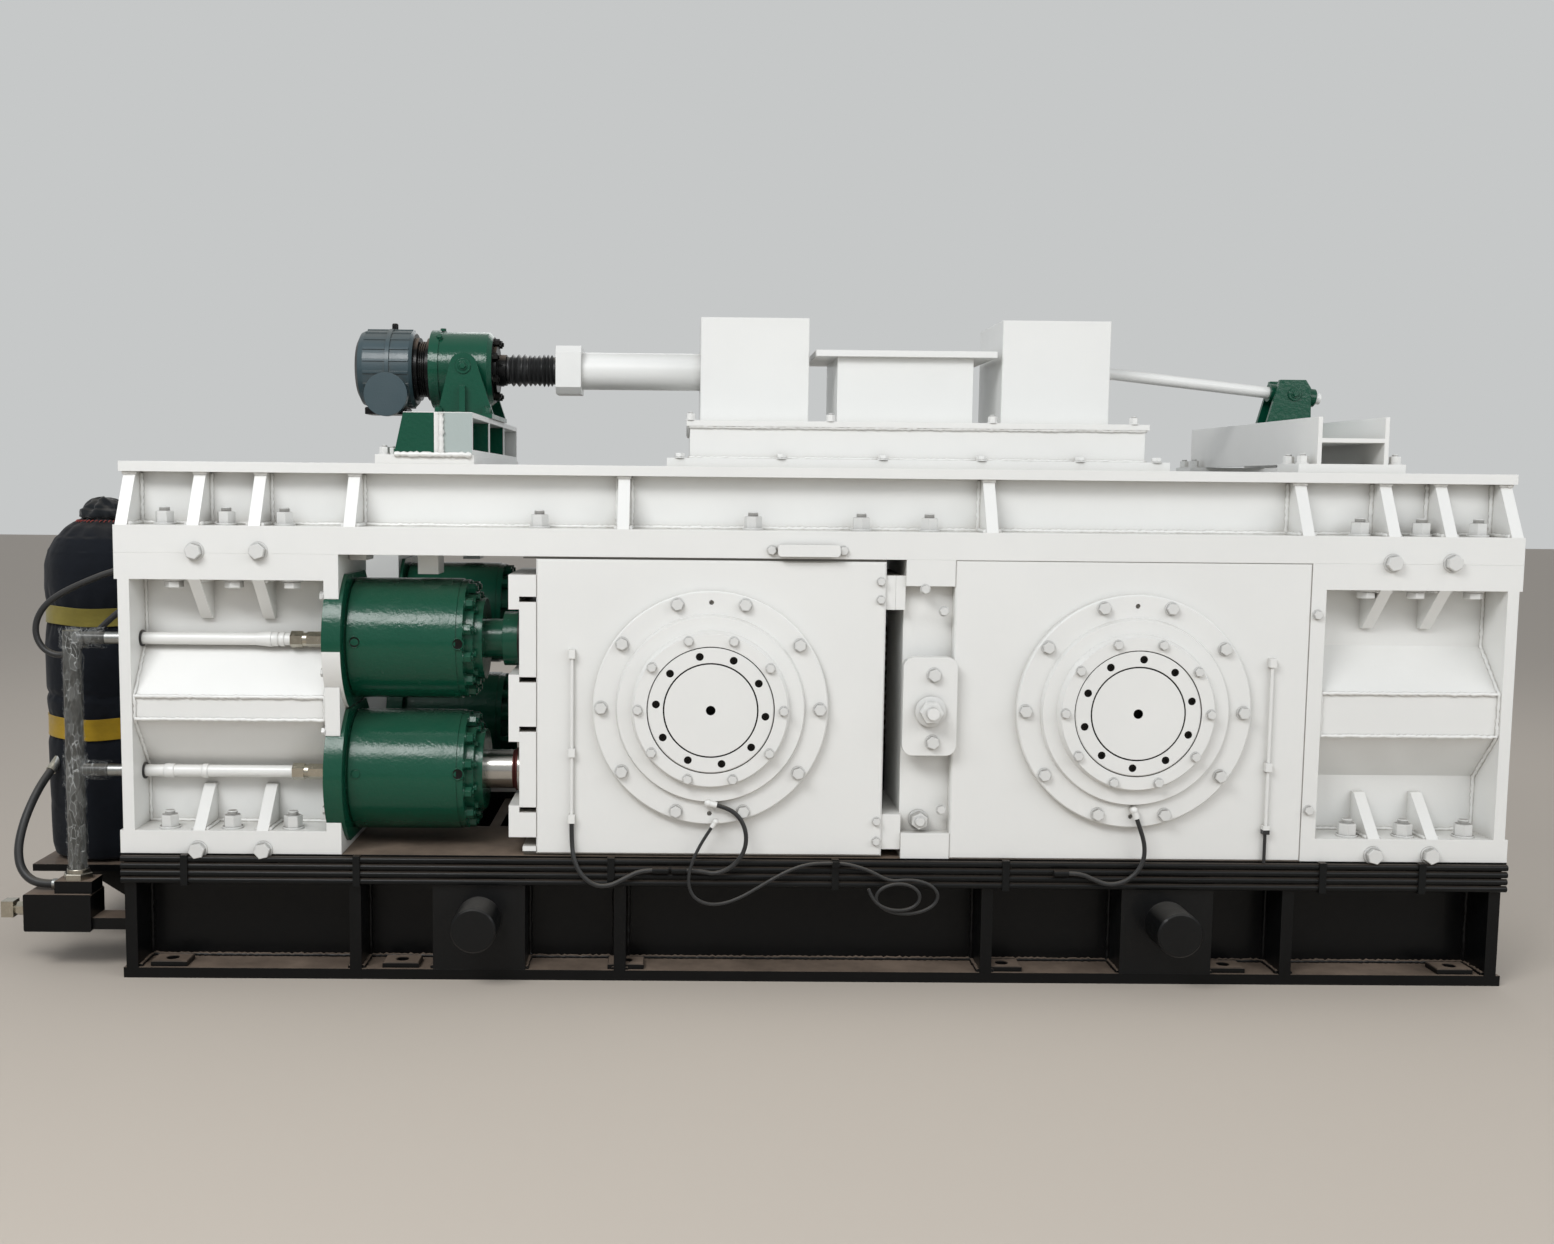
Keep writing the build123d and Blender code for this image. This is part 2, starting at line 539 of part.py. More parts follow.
def end_post(side):
    """Front end post: side -1 is the cylinder end, side 1 the fixed end."""
    inner = LEFT_POST_INNER_X if side < 0 else RIGHT_POST_INNER_X
    outer = side * POST_OUTER_X
    inner_far = inner + side * POST_INNER_PLATE
    outer_near = outer - side * POST_OUTER_PLATE
    foot_top = BASE_HEIGHT + POST_FOOT
    head_bottom = BEAM_BOTTOM - POST_HEAD
    body = block(inner, side * HALF_LENGTH, FRONT, INNER, BASE_HEIGHT, foot_top)
    body += block(inner, side * HALF_LENGTH, FRONT, INNER, head_bottom, BEAM_BOTTOM)
    body += block(inner, inner_far, FRONT, INNER, foot_top, head_bottom)
    body += block(outer_near, outer, FRONT, INNER, foot_top, head_bottom)
    deep = FRONT + POST_RECESS
    shallow = FRONT + POST_BAND_RECESS
    low_band, high_band = POST_BANDS[side]
    line = [(deep, foot_top), (deep, POST_SLANT_LOW), (shallow, low_band), (shallow, high_band),
            (deep, POST_SLANT_HIGH), (deep, head_bottom)]
    back = [(y + WEB_PLATE, z) for y, z in reversed(line)]
    left, right = sorted((inner_far, outer_near))
    body += slab_x(left, right, line + back)
    body += block(left, right, INNER - WEB_PLATE, INNER, foot_top, head_bottom)
    for x in POST_GUSSETS[side]:
        a, b = x - GUSSET / 2, x + GUSSET / 2
        low, high = foot_top + GUSSET_LOW_REACH, head_bottom - GUSSET_HIGH_REACH
        tip = deep - GUSSET_FOOT
        body += slab_x(a, b, [(FRONT, foot_top), (deep, foot_top), (deep, low), (tip, low)])
        body += slab_x(a, b, [(FRONT, head_bottom), (deep, head_bottom), (deep, high), (tip, high)])
    if side < 0:
        for z in CYLINDER_HEIGHTS:
            body -= flange_outline(inner_far - SEAT, inner + SEAT, z, SEAT)
        for z in PIPE_HEIGHTS:
            body -= rod_x(outer - 1, outer_near + 1, PIPE_Y, z, PIPE_DIAMETER / 2 + RUNNING)
    return body


def flange_outline(x0, x1, z, grow):
    """Round cylinder flange with flats above and below."""
    disc = rod_x(x0, x1, CYLINDER_Y, z, CYLINDER_FLANGE / 2 + grow)
    flat = CYLINDER_RISE - 3 + grow
    reach = CYLINDER_FLANGE
    return disc & block(x0, x1, CYLINDER_Y - reach, CYLINDER_Y + reach, z - flat, z + flat)


def make_posts():
    for side, word in ((-1, "left"), (1, "right")):
        save(f"{word}_end_posts", *both(end_post(side)))
    walls = []
    for side in (-1, 1):
        outer = side * POST_OUTER_X
        walls.append(block(outer - side * POST_OUTER_PLATE, outer, INNER, -INNER, BASE_HEIGHT, BEAM_BOTTOM))
    save("end_walls", *walls)


def make_beams():
    sole_top = BEAM_BOTTOM + BEAM_SOLE
    plate_bottom = BEAM_TOP - BEAM_TOP_PLATE
    top_front = FRONT + BEAM_TOP_SETBACK
    top_back = top_front + BEAM_TOP_WIDTH
    beam = block(-HALF_LENGTH, HALF_LENGTH, FRONT, INNER, BEAM_BOTTOM, sole_top)
    beam += block(-HALF_LENGTH - 5, HALF_LENGTH + 5, top_front, top_back, plate_bottom, BEAM_TOP)
    beam += block(-HALF_LENGTH + 2, HALF_LENGTH - 2, WEB_FRONT, WEB_FRONT + WEB_PLATE, sole_top, plate_bottom)
    for x in BEAM_RIBS:
        beam += slab_x(x - STEEL_PLATE / 2, x + STEEL_PLATE / 2, [
            (FRONT, sole_top), (top_back, sole_top), (top_back, plate_bottom),
            (FRONT + RIB_LEAN, plate_bottom)])
    bar_x, bar_z = GUIDE_BAR
    bar = block(bar_x - 104, bar_x + 104, FRONT - 34, FRONT - 8, bar_z - 20, bar_z + 20)
    bar = fillet(bar.edges().filter_by(Axis.Y), 12)
    for x in (bar_x - 92, bar_x + 92):
        bar += block(x - 10, x + 10, FRONT - 8, FRONT, bar_z - 14, bar_z + 14)
    beam += bar
    for x0, x1, drop in BEAM_STOPS:
        beam += block(x0, x1, CYLINDER_Y - 60, CYLINDER_Y + 60, BEAM_BOTTOM - drop, BEAM_BOTTOM)
    save("top_beams", *both(beam))


def make_centre_stop():
    body = block(STOP_LEFT, FIXED_LEFT, FRONT + STOP_RECESS, INNER, BASE_HEIGHT, BEAM_BOTTOM)
    body += block(STOP_LEFT, FIXED_LEFT, FRONT, FRONT + STOP_RECESS, BEAM_BOTTOM - 88, BEAM_BOTTOM)
    body += block(STOP_LEFT, FIXED_LEFT, FRONT, FRONT + STOP_RECESS, BASE_HEIGHT, BASE_HEIGHT + 88)
    half = STOP_GAP / 2
    low, high = SPACER_HEIGHTS
    depth = (FRONT + SPACER_SETBACK, INNER)
    body += block(FLOATING_RIGHT + half + SEAT, STOP_LEFT, *depth, high - 115, high)
    save("centre_stops", *both(body))
    middle = (STOP_LEFT + FIXED_LEFT) / 2
    plate = block(middle - CLAMP_PLATE_WIDTH / 2, middle + CLAMP_PLATE_WIDTH / 2, FRONT - 40, FRONT,
                  ROLL_AXIS_Z + 14 - CLAMP_PLATE_HEIGHT / 2, ROLL_AXIS_Z + 14 + CLAMP_PLATE_HEIGHT / 2)
    plate = fillet(plate.edges().filter_by(Axis.Y), 36)
    plate += rod_y(middle, FRONT - 52, FRONT + STOP_RECESS, ROLL_AXIS_Z, 47)
    plate += rod_y(middle, FRONT - 120, FRONT - 40, ROLL_AXIS_Z, 20)
    nut = extrude(RegularPolygon(38, 6), 21, both=True)
    plate += Pos(middle, FRONT - 74, ROLL_AXIS_Z) * Rot(90, 0, 0) * nut
    save("clamp_plates", *both(plate))
    carried = block(FLOATING_RIGHT, FLOATING_RIGHT + half, *depth, high - 115, high)
    carried_low = block(FLOATING_RIGHT, STOP_LEFT - SEAT, *depth, low, low + 121)
    save("floating_spacers", *both(carried, carried_low))


# Housings, covers and rolls

def housing(x0, x1, z0, z1, bore_x):
    body = block(x0, x1, FRONT, INNER, z0, z1)
    body = chamfer(body.faces().sort_by(Axis.Y)[0].edges(), HOUSING_CHAMFER)
    return body - rod_y(bore_x, FRONT, INNER, ROLL_AXIS_Z, JOURNAL_DIAMETER / 2 + SEAT)


def cover(x):
    """Stepped ring in front of a bearing, with the end disc turning inside it."""
    bore = END_DISC_DIAMETER / 2 + END_DISC_SEAM
    steps = [(bore, 0), (COVER_DIAMETER / 2, 0), (COVER_DIAMETER / 2, COVER_FLANGE - 4),
             (COVER_DIAMETER / 2 - 4, COVER_FLANGE), (COVER_STEP_ONE / 2, COVER_FLANGE),
             (COVER_STEP_ONE / 2 - 6, COVER_MIDDLE), (COVER_STEP_TWO / 2, COVER_MIDDLE),
             (COVER_STEP_TWO / 2 - 10, COVER_REACH), (bore, COVER_REACH)]
    ring = turned_y(x, ROLL_AXIS_Z, [(radius, FRONT - out) for radius, out in steps])
    jack_circle = (COVER_DIAMETER + COVER_STEP_ONE) / 4
    face = FRONT - COVER_FLANGE
    for z in (ROLL_AXIS_Z - jack_circle, ROLL_AXIS_Z + jack_circle):
        ring -= rod_y(x, face - 1, face + 18, z, 8)
    return ring


def shaft(x, first):
    """Shaft with journals, end disc with its screw holes at the front and drive end at the rear."""
    disc = END_DISC_DIAMETER / 2
    journal = JOURNAL_DIAMETER / 2
    face = -FRONT + COVER_REACH
    groove, groove_width, groove_depth = 159, 5, 4
    front = [(16, -face + 40), (16, -face), (groove - groove_width, -face),
             (groove - groove_width, -face + groove_depth), (groove, -face + groove_depth), (groove, -face),
             (disc - 3, -face), (disc, -face + 3), (disc, FRONT - RUNNING),
             (journal, FRONT - RUNNING)]
    middle = [(journal, INNER + 5), (journal + 30, INNER + 5), (journal + 30, -ROLL_WIDTH / 2 - 10),
              (ROLL_BORE / 2, -ROLL_WIDTH / 2 - 10), (ROLL_BORE / 2, ROLL_WIDTH / 2 + 10),
              (journal + 30, ROLL_WIDTH / 2 + 10), (journal + 30, -INNER - 5), (journal, -INNER - 5)]
    drive = DRIVE_SHAFT_DIAMETER / 2
    end = face + DRIVE_SHAFT_REACH
    back = [(journal, -FRONT + RUNNING), (disc, -FRONT + RUNNING), (disc, face - 3), (disc - 3, face),
            (drive, face), (drive, end - 6), (drive - 6, end), (0, end), (0, -face + 40)]
    body = turned_y(x, ROLL_AXIS_Z, front + middle + back)
    for i in range(DISC_SCREWS):
        angle = math.radians(first - 360 / DISC_SCREWS * i)
        hole_x, hole_z = x + DISC_CIRCLE * math.cos(angle), ROLL_AXIS_Z + DISC_CIRCLE * math.sin(angle)
        body -= rod_y(hole_x, -face - 1, -face + DISC_SCREW_DEPTH, hole_z, DISC_SCREW_HOLE / 2)
    return body


def tyre(x):
    half = ROLL_WIDTH / 2
    radius = ROLL_DIAMETER / 2
    profile = [(ROLL_BORE / 2, -half), (radius - 14, -half), (radius, -half + 14), (radius, half - 14),
               (radius - 14, half), (ROLL_BORE / 2, half)]
    return turned_y(x, ROLL_AXIS_Z, profile)


def make_rolls():
    low, high = BASE_HEIGHT + HOUSING_SLIDE, BEAM_BOTTOM - HOUSING_SLIDE
    save("floating_housings", *both(housing(FLOATING_LEFT, FLOATING_RIGHT, low, high, FLOATING_ROLL_X)))
    save("fixed_housings", *both(housing(FIXED_LEFT, FIXED_RIGHT, BASE_HEIGHT, BEAM_BOTTOM, FIXED_ROLL_X)))
    for x, word in ((FLOATING_ROLL_X, "floating"), (FIXED_ROLL_X, "fixed")):
        front, back = both(cover(x))
        for port in COVER_PORTS[word]:
            front += elbow(*port)
        save(f"{word}_bearing_covers", front, back)
        save(f"{word}_roll_shaft", shaft(x, DISC_FIRST_SCREW[word]))
        save(f"{word}_roll_tyre", tyre(x))


def make_thrust_side():
    """Hook brackets and thrust plates on the left face of the floating housing."""
    face = FLOATING_LEFT
    lip = face - THRUST_PLATE
    reach = lip - 36
    depth = (FRONT, INNER)
    hooks = []
    for low, high, lip_low, lip_high in HOOKS:
        hook = block(reach, face, *depth, low, high)
        hook += block(reach, lip, *depth, lip_low, lip_high)
        hooks.append(hook)
    hooks.append(block(face - 46, face, *depth, BASE_HEIGHT + 16, BASE_HEIGHT + 33))
    save("thrust_plate_hooks", *both(*hooks))
    plates = [block(face - THRUST_PLATE, face, *depth, low, high) for low, high in THRUST_PLATES]
    save("thrust_plates", *both(*plates))


# Cylinders

def cylinder(z):
    tube = CYLINDER_DIAMETER / 2
    body = flange_outline(CYLINDER_FLANGE_X, CYLINDER_TUBE_X, z, 0)
    gland = CYLINDER_GLAND / 2
    body += turned_x(CYLINDER_Y, z, [
        (CYLINDER_TUBE_X - 1, 0), (CYLINDER_TUBE_X - 1, tube - 8), (CYLINDER_TUBE_X, tube - 8),
        (CYLINDER_TUBE_X + 8, tube), (GLAND_X - 22, tube), (GLAND_X - 22, tube - 4), (GLAND_X, tube - 4),
        (GLAND_X, gland), (GLAND_X + 30, gland), (GLAND_X + 30, gland - 24), (GLAND_END_X, gland - 24),
        (GLAND_END_X, 0)])
    bore = ROD_DIAMETER / 2 + SEAT
    return body - rod_x(GLAND_END_X - ROD_BORE_DEPTH, GLAND_END_X + 1, CYLINDER_Y, z, bore)


def rod(z, foot_radius, foot_length):
    radius = ROD_DIAMETER / 2
    end = THRUST_FACE_X
    start = GLAND_END_X - ROD_BORE_DEPTH + CARRIAGE_TRAVEL + 25
    return turned_x(CYLINDER_Y, z, [
        (start, 0), (start, radius), (end - foot_length, radius), (end - foot_length + 4, foot_radius),
        (end, foot_radius), (end, 0)])


def make_cylinders():
    save("cylinders", *both(*[cylinder(z) for z in CYLINDER_HEIGHTS]))
    low, high = CYLINDER_HEIGHTS
    save("cylinder_rods", *both(rod(low, 75, 36), rod(high, 94, 76)))


# Hydraulics at the left end

def make_hydraulics():
    radius = PIPE_DIAMETER / 2
    lines = rod_z(RISER_X, PIPE_Y, MANIFOLD_TOP, PIPE_HEIGHTS[1] + 24, RISER_DIAMETER / 2)
    for z in PIPE_HEIGHTS:
        lines += rod_x(RISER_X, PIPE_FITTING_X, PIPE_Y, z, radius)
        for start, stop, across in ((0, 40, 29), (55, CYLINDER_FLANGE_X - PIPE_FITTING_X, 27)):
            nut = extrude(RegularPolygon(across, 6), stop - start)
            lines += Pos(PIPE_FITTING_X + start, PIPE_Y, z) * Rot(0, 90, 0) * nut
        lines += rod_x(PIPE_FITTING_X + 40, PIPE_FITTING_X + 55, PIPE_Y, z, 24)
    save("hydraulic_lines", *both(lines), *make_left_ports())
    hose("loop_hose", LOOP_HOSE_ROUTE, LOOP_HOSE_DIAMETER)
    hose("return_hose", RETURN_HOSE_ROUTE, RETURN_HOSE_DIAMETER)
    half = MANIFOLD_DEPTH / 2
    lower = block(MANIFOLD_LEFT, MANIFOLD_RIGHT, PIPE_Y - half, PIPE_Y + half, MANIFOLD_BOTTOM, MANIFOLD_STEP)
    lower = chamfer(lower.edges().filter_by(Axis.Y), 4)
    half -= MANIFOLD_SHOULDER
    upper = block(RISER_X - (MANIFOLD_RIGHT - RISER_X), MANIFOLD_RIGHT, PIPE_Y - half, PIPE_Y + half,
                  MANIFOLD_STEP, MANIFOLD_TOP)
    arm = block(MANIFOLD_RIGHT, BASE_STIFFENERS[0] - STEEL_PLATE / 2, PIPE_Y - half, PIPE_Y + half,
                MANIFOLD_BOTTOM + 6, MANIFOLD_BOTTOM + 46)
    save("manifold_blocks", *both(lower + upper + arm))
    shelf_left = ACCUMULATOR_X - ACCUMULATOR_DIAMETER / 2
    reach = ACCUMULATOR_Y + ACCUMULATOR_DIAMETER / 2
    shelf = block(shelf_left, -BASE_END, -reach, reach, SHELF_TOP - 25, SHELF_TOP)
    for y in (INNER + 20, 0, -INNER - 20):
        shelf += slab_y(y - 10, y + 10, [(-BASE_END, SHELF_TOP - 25), (shelf_left + 60, SHELF_TOP - 25),
                                         (-BASE_END, 60)])
    save("accumulator_shelf", shelf)
    body = ACCUMULATOR_DIAMETER / 2
    vessel = revolve(make_face(Polyline([
        (0, SHELF_TOP, 0), (body - 40, SHELF_TOP, 0), (body, SHELF_TOP + 40, 0),
        (body, ACCUMULATOR_TOP - ACCUMULATOR_SHOULDER, 0), (body - 60, ACCUMULATOR_TOP - 60, 0),
        (90, ACCUMULATOR_TOP - 25, 0), (80, ACCUMULATOR_TOP, 0), (0, ACCUMULATOR_TOP, 0)],
        close=True)), Axis.Y)
    vessel = Pos(ACCUMULATOR_X, -ACCUMULATOR_Y, 0) * Rot(90, 0, 0) * vessel
    save("accumulators", *both(vessel))


# Feed gear

def make_feed():
    x = FEED_CENTRE_X
    half, deep = SUBFRAME_LENGTH / 2, SUBFRAME_DEPTH / 2
    low, high = BEAM_TOP + SUBFRAME_FLANGE, SUBFRAME_TOP - SUBFRAME_TOP_PLATE
    throat_x, throat_y = CHUTE_LENGTH / 2 - CHUTE_WALL, CHUTE_DEPTH / 2 - CHUTE_WALL
    frame = block(x - half - 79, x + half + 79, -deep - 35, deep + 35, BEAM_TOP, low)
    frame += block(x - half, x + half, -deep, deep, low, high)
    frame += block(x - half - 12, x + half + 12, -deep - 10, deep + 10, high, SUBFRAME_TOP)
    wall = STEEL_PLATE
    frame -= block(x - half + wall, x + half - wall, -deep + wall, deep - wall, BEAM_TOP, high)
    frame -= block(x - throat_x, x + throat_x, -throat_y, throat_y, high, SUBFRAME_TOP)
    save("feed_subframe", frame)
    chute_top = SUBFRAME_TOP + CHUTE_HEIGHT
    length, depth = CHUTE_LENGTH / 2, CHUTE_DEPTH / 2
    chute = block(x - length, x + length, -depth, depth, SUBFRAME_TOP, chute_top)
    flange_x, flange_y = CHUTE_FLANGE_LENGTH / 2, CHUTE_FLANGE_DEPTH / 2
    chute += block(x - flange_x, x + flange_x, -flange_y, flange_y, chute_top - CHUTE_FLANGE_THICK, chute_top)
    chute -= block(x - throat_x, x + throat_x, -throat_y, throat_y, SUBFRAME_TOP, chute_top)
    save("feed_chute", chute)
    boxes = []
    for side in (-1, 1):
        middle = x + side * GATE_BOX_OFFSET
        a, b = middle - GATE_BOX_WIDTH / 2, middle + GATE_BOX_WIDTH / 2
        deep, top, wall = GATE_BOX_DEPTH / 2, SUBFRAME_TOP + GATE_BOX_HEIGHT, GATE_BOX_WALL
        box = block(a, b, -deep, deep, SUBFRAME_TOP, top)
        box = fillet(box.edges().filter_by(Axis.Z), 6)
        box -= block(a + wall, b - wall, -deep + wall, deep - wall, SUBFRAME_TOP, top - wall)
        if side < 0:
            hole = PUSH_TUBE_DIAMETER / 2 + TILT_CLEARANCE
            box -= rod_x(a - 1, a + wall + 1, 0, ACTUATOR_Z, hole)
        else:
            box -= on_adjuster(b - 60, b + 60, ADJUSTER_DIAMETER / 2 + TILT_CLEARANCE)
        boxes.append(box)
    save("gate_boxes", *boxes)


# Gate actuator

def motor(gear_left):
    """Geared motor on the left of the gearbox: ribbed shell, band, domed end and round terminal cap."""
    body = MOTOR_DIAMETER / 2
    right = gear_left - MOTOR_NECK
    left = right - MOTOR_LENGTH
    neck = body * 0.64
    flange = body * 0.78
    shell = turned_x(0, ACTUATOR_Z, [
        (left, 0), (left, body * 0.72), (left + 14, body * 0.9), (left + 34, body - MOTOR_RIB),
        (right - 12, body - MOTOR_RIB), (right, body - MOTOR_RIB - 12), (right, flange), (right + 14, flange),
        (right + 14, neck), (gear_left - 16, neck), (gear_left - 16, flange), (gear_left, flange),
        (gear_left, 0)])
    middle = (left + 34 + right) / 2
    shell += rod_x(middle - 8, middle + 8, 0, ACTUATOR_Z, body)
    half = MOTOR_RIB_WIDTH / 2
    rib = block(left + 34, right - 12, -half, half, body - MOTOR_RIB - 4, body - 2)
    for i in range(MOTOR_RIBS):
        shell += Pos(0, 0, ACTUATOR_Z) * Rot(360 / MOTOR_RIBS * (i + 0.5), 0, 0) * rib
    for i in range(MOTOR_NECK_FINS):
        x = right + 14 + (MOTOR_NECK - 30) * (i + 0.6) / MOTOR_NECK_FINS
        shell += rod_x(x, x + 3, 0, ACTUATOR_Z, neck + 8)
    box_x, box_z, lid = left + MOTOR_LENGTH * 0.6, ACTUATOR_Z - body * 0.7, body * 0.45
    shell += rod_y(box_x, -body - 12, 0, box_z, lid)
    return shell + rod_y(box_x, -body - 42, -body - 12, box_z, lid + 12)


def make_actuator():
    gear_right = COLLAR_X - BELLOWS_LENGTH - 32
    gear_left = gear_right - GEAR_LENGTH
    radius = GEAR_DIAMETER / 2
    gear = turned_x(0, ACTUATOR_Z, [
        (gear_left, 0), (gear_left, radius), (gear_left + 36, radius), (gear_left + 36, radius - 6),
        (gear_right - 30, radius - 6), (gear_right - 12, radius - 24), (gear_right - 12, 95),
        (gear_right, 95), (gear_right, 0)])
    for side in (-1, 1):
        inner, outer = sorted((side * (radius - 20), side * (CHEEK_Y + CHEEK - 6)))
        gear += rod_y(PIVOT_X, inner, outer, ACTUATOR_Z, PIVOT_RADIUS)
    gear += rod_x(gear_right, gear_right + 32 - SEAT, 0, ACTUATOR_Z, 58)
    screw_end = COLLAR_X + COLLAR_LENGTH
    gear += rod_x(gear_right, screw_end, 0, ACTUATOR_Z, SCREW_RADIUS)
    save("actuator_gearbox", gear)
    save("actuator_motor", motor(gear_left))
    low, seat = STAND_TOP, STAND_TOP + BRACKET_FOOT
    spread = CHEEK_Y + CHEEK + CHEEK_RIB
    foot = block(PIVOT_X - CHEEK_FOOT, PIVOT_X + CHEEK_FOOT, -spread, spread, low, seat)
    cheeks = []
    for side in (-1, 1):
        y = CHEEK_Y if side > 0 else -CHEEK_Y - CHEEK
        top, rise = CHEEK_TOP * 0.94, ACTUATOR_Z + CHEEK_TOP * 0.36
        cheek = slab_y(y, y + CHEEK, [(PIVOT_X - CHEEK_FOOT + 16, seat), (PIVOT_X + CHEEK_FOOT, seat),
                                      (PIVOT_X + top, rise), (PIVOT_X - top, rise)])
        cheek += rod_y(PIVOT_X, y, y + CHEEK, ACTUATOR_Z, CHEEK_TOP)
        cheek -= rod_y(PIVOT_X, y - 1, y + CHEEK + 1, ACTUATOR_Z, PIVOT_RADIUS + SEAT)
        cheeks.append(cheek)
        rib = (y - CHEEK_RIB + 4, y) if side < 0 else (y + CHEEK, y + CHEEK + CHEEK_RIB - 4)
        half = STAND_PLATE * 0.6
        cheeks.append(block(PIVOT_X - half, PIVOT_X + half, *rib, seat, (seat + ACTUATOR_Z) / 2 + 14))
    for piece in cheeks:
        foot += piece
    save("actuator_bracket", foot)
    left, right = STAND_RIGHT_X - STAND_WIDTH, STAND_RIGHT_X
    base, end = BEAM_TOP + SOLE_PLATE, STAND_END
    stand = block(left, right, -end, end, base, base + STAND_PLATE)
    stand += block(left + STAND_LEAN, right, -end, end, low - STAND_PLATE, low)
    ends = (-end, end - STAND_PLATE)
    bays = [-end + (2 * end - STAND_PLATE) * i / STAND_BAYS for i in range(1, STAND_BAYS)]
    for y in (*ends, *bays):
        stand += slab_y(y, y + STAND_PLATE, [
            (left, base), (right, base), (right, low), (left + STAND_LEAN, low)])
    stand += slab_y(-end, end, [(left, base), (left + STAND_PLATE, base),
                                (left + STAND_LEAN + STAND_PLATE, low), (left + STAND_LEAN, low)])
    stand += block(left - 64, right + 6, -end, end, BEAM_TOP, base)
    save("actuator_stand", stand)
    save("actuator_bellows", bellows())
    half = COLLAR_SIZE / 2
    low, high = ACTUATOR_Z - half, ACTUATOR_Z + half
    collar = block(COLLAR_X + SEAT, COLLAR_X + COLLAR_LENGTH, -half, half, low, high)
    collar = chamfer(collar.edges().filter_by(Axis.X), 24)
    tube_end = FEED_CENTRE_X - GATE_BOX_OFFSET
    tube = rod_x(COLLAR_X + COLLAR_LENGTH - 1, tube_end, 0, ACTUATOR_Z, PUSH_TUBE_DIAMETER / 2)
    bore = rod_x(COLLAR_X, tube_end - 40, 0, ACTUATOR_Z, SCREW_RADIUS + RUNNING)
    save("push_tube", collar + tube - bore)


def bellows():
    """Rubber bellows between the gearbox nose and the collar, plain, with a cuff at each end."""
    start, end = COLLAR_X - BELLOWS_LENGTH + SEAT, COLLAR_X - SEAT
    cuff, body, inner = BELLOWS_DIAMETER / 2, BELLOWS_DIAMETER / 2 - 5, SCREW_RADIUS + RUNNING
    return turned_x(0, ACTUATOR_Z, [
        (start, inner), (start, cuff), (start + 14, cuff), (start + 14, body), (end - 14, body),
        (end - 14, cuff), (end, cuff), (end, inner)])


# Adjusting rod

def on_adjuster(x0, x1, radius):
    """A round bar on the sloping line through the rod's pivot."""
    slope = math.radians(ADJUSTER_SLOPE)
    start, stop = [(x - ADJUSTER_PIVOT_X) / math.cos(slope) for x in (x0, x1)]
    bar = Pos((start + stop) / 2, 0, 0) * Rot(0, 90, 0) * Cylinder(radius, stop - start)
    return Pos(ADJUSTER_PIVOT_X, 0, ADJUSTER_PIVOT_Z) * Rot(0, ADJUSTER_SLOPE, 0) * bar


def make_adjuster():
    left, right = CROSS_BEAM_LEFT_X, CROSS_BEAM_LEFT_X + CROSS_BEAM_WIDTH
    base = BEAM_TOP + SOLE_PLATE
    top, plate, end = base + CROSS_BEAM_HEIGHT, CROSS_BEAM_PLATE, CROSS_BEAM_LENGTH / 2
    floor = CROSS_BEAM_FLOOR
    beam = block(left, left + plate, -end, end, base, top)
    beam += block(right - plate, right, -end, end, base, top)
    beam += block(left, right, -end, end, floor - plate, floor)
    for side in (-1, 1):
        outer = side * end
        beam += block(left - CROSS_BEAM_SOLE_WIDER, right + CROSS_BEAM_SOLE_WIDER,
                      outer, outer - side * CROSS_BEAM_SOLE_LENGTH, BEAM_TOP, base)
    save("cross_beam", beam)
    bracket = block(left + plate + 8, right - plate - 8, -75, 75, floor, floor + 14)
    for y in (-58, 42):
        bracket += slab_y(y, y + 16, [
            (left + plate + 12, floor), (right - plate - 12, floor),
            (ADJUSTER_PIVOT_X + 62, ADJUSTER_PIVOT_Z + 24), (ADJUSTER_PIVOT_X + 42, ADJUSTER_PIVOT_Z + 54),
            (ADJUSTER_PIVOT_X - 56, ADJUSTER_PIVOT_Z + 54)])
    bracket += rod_y(ADJUSTER_PIVOT_X, -42, 42, ADJUSTER_PIVOT_Z, 40)
    for start, stop in ((-78, -30), (30, 96)):
        bracket += on_adjuster(ADJUSTER_PIVOT_X + start, ADJUSTER_PIVOT_X + stop, 34)
    bracket -= on_adjuster(ADJUSTER_PIVOT_X - 120, ADJUSTER_PIVOT_X + 120, ADJUSTER_DIAMETER / 2 + SEAT)
    save("adjuster_bracket", bracket)
    box_right = FEED_CENTRE_X + GATE_BOX_OFFSET + GATE_BOX_WIDTH / 2
    save("adjusting_rod", on_adjuster(box_right - 60, ADJUSTER_PIVOT_X + 118, ADJUSTER_DIAMETER / 2))


os.makedirs("parts", exist_ok=True)
make_base()
make_pipe_bundle()
make_hoses()
make_posts()
make_beams()
make_centre_stop()
make_rolls()
make_thrust_side()
make_cylinders()
make_hydraulics()
make_feed()
make_actuator()
make_adjuster()
print(len(written), "nodes")
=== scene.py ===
"""Double roll crusher: the looks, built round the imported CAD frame, laid out as an add-on."""
import functools
import math
import random

import bpy
from bpy.props import FloatProperty, FloatVectorProperty, IntProperty, PointerProperty
from mathutils import Matrix, Vector, noise


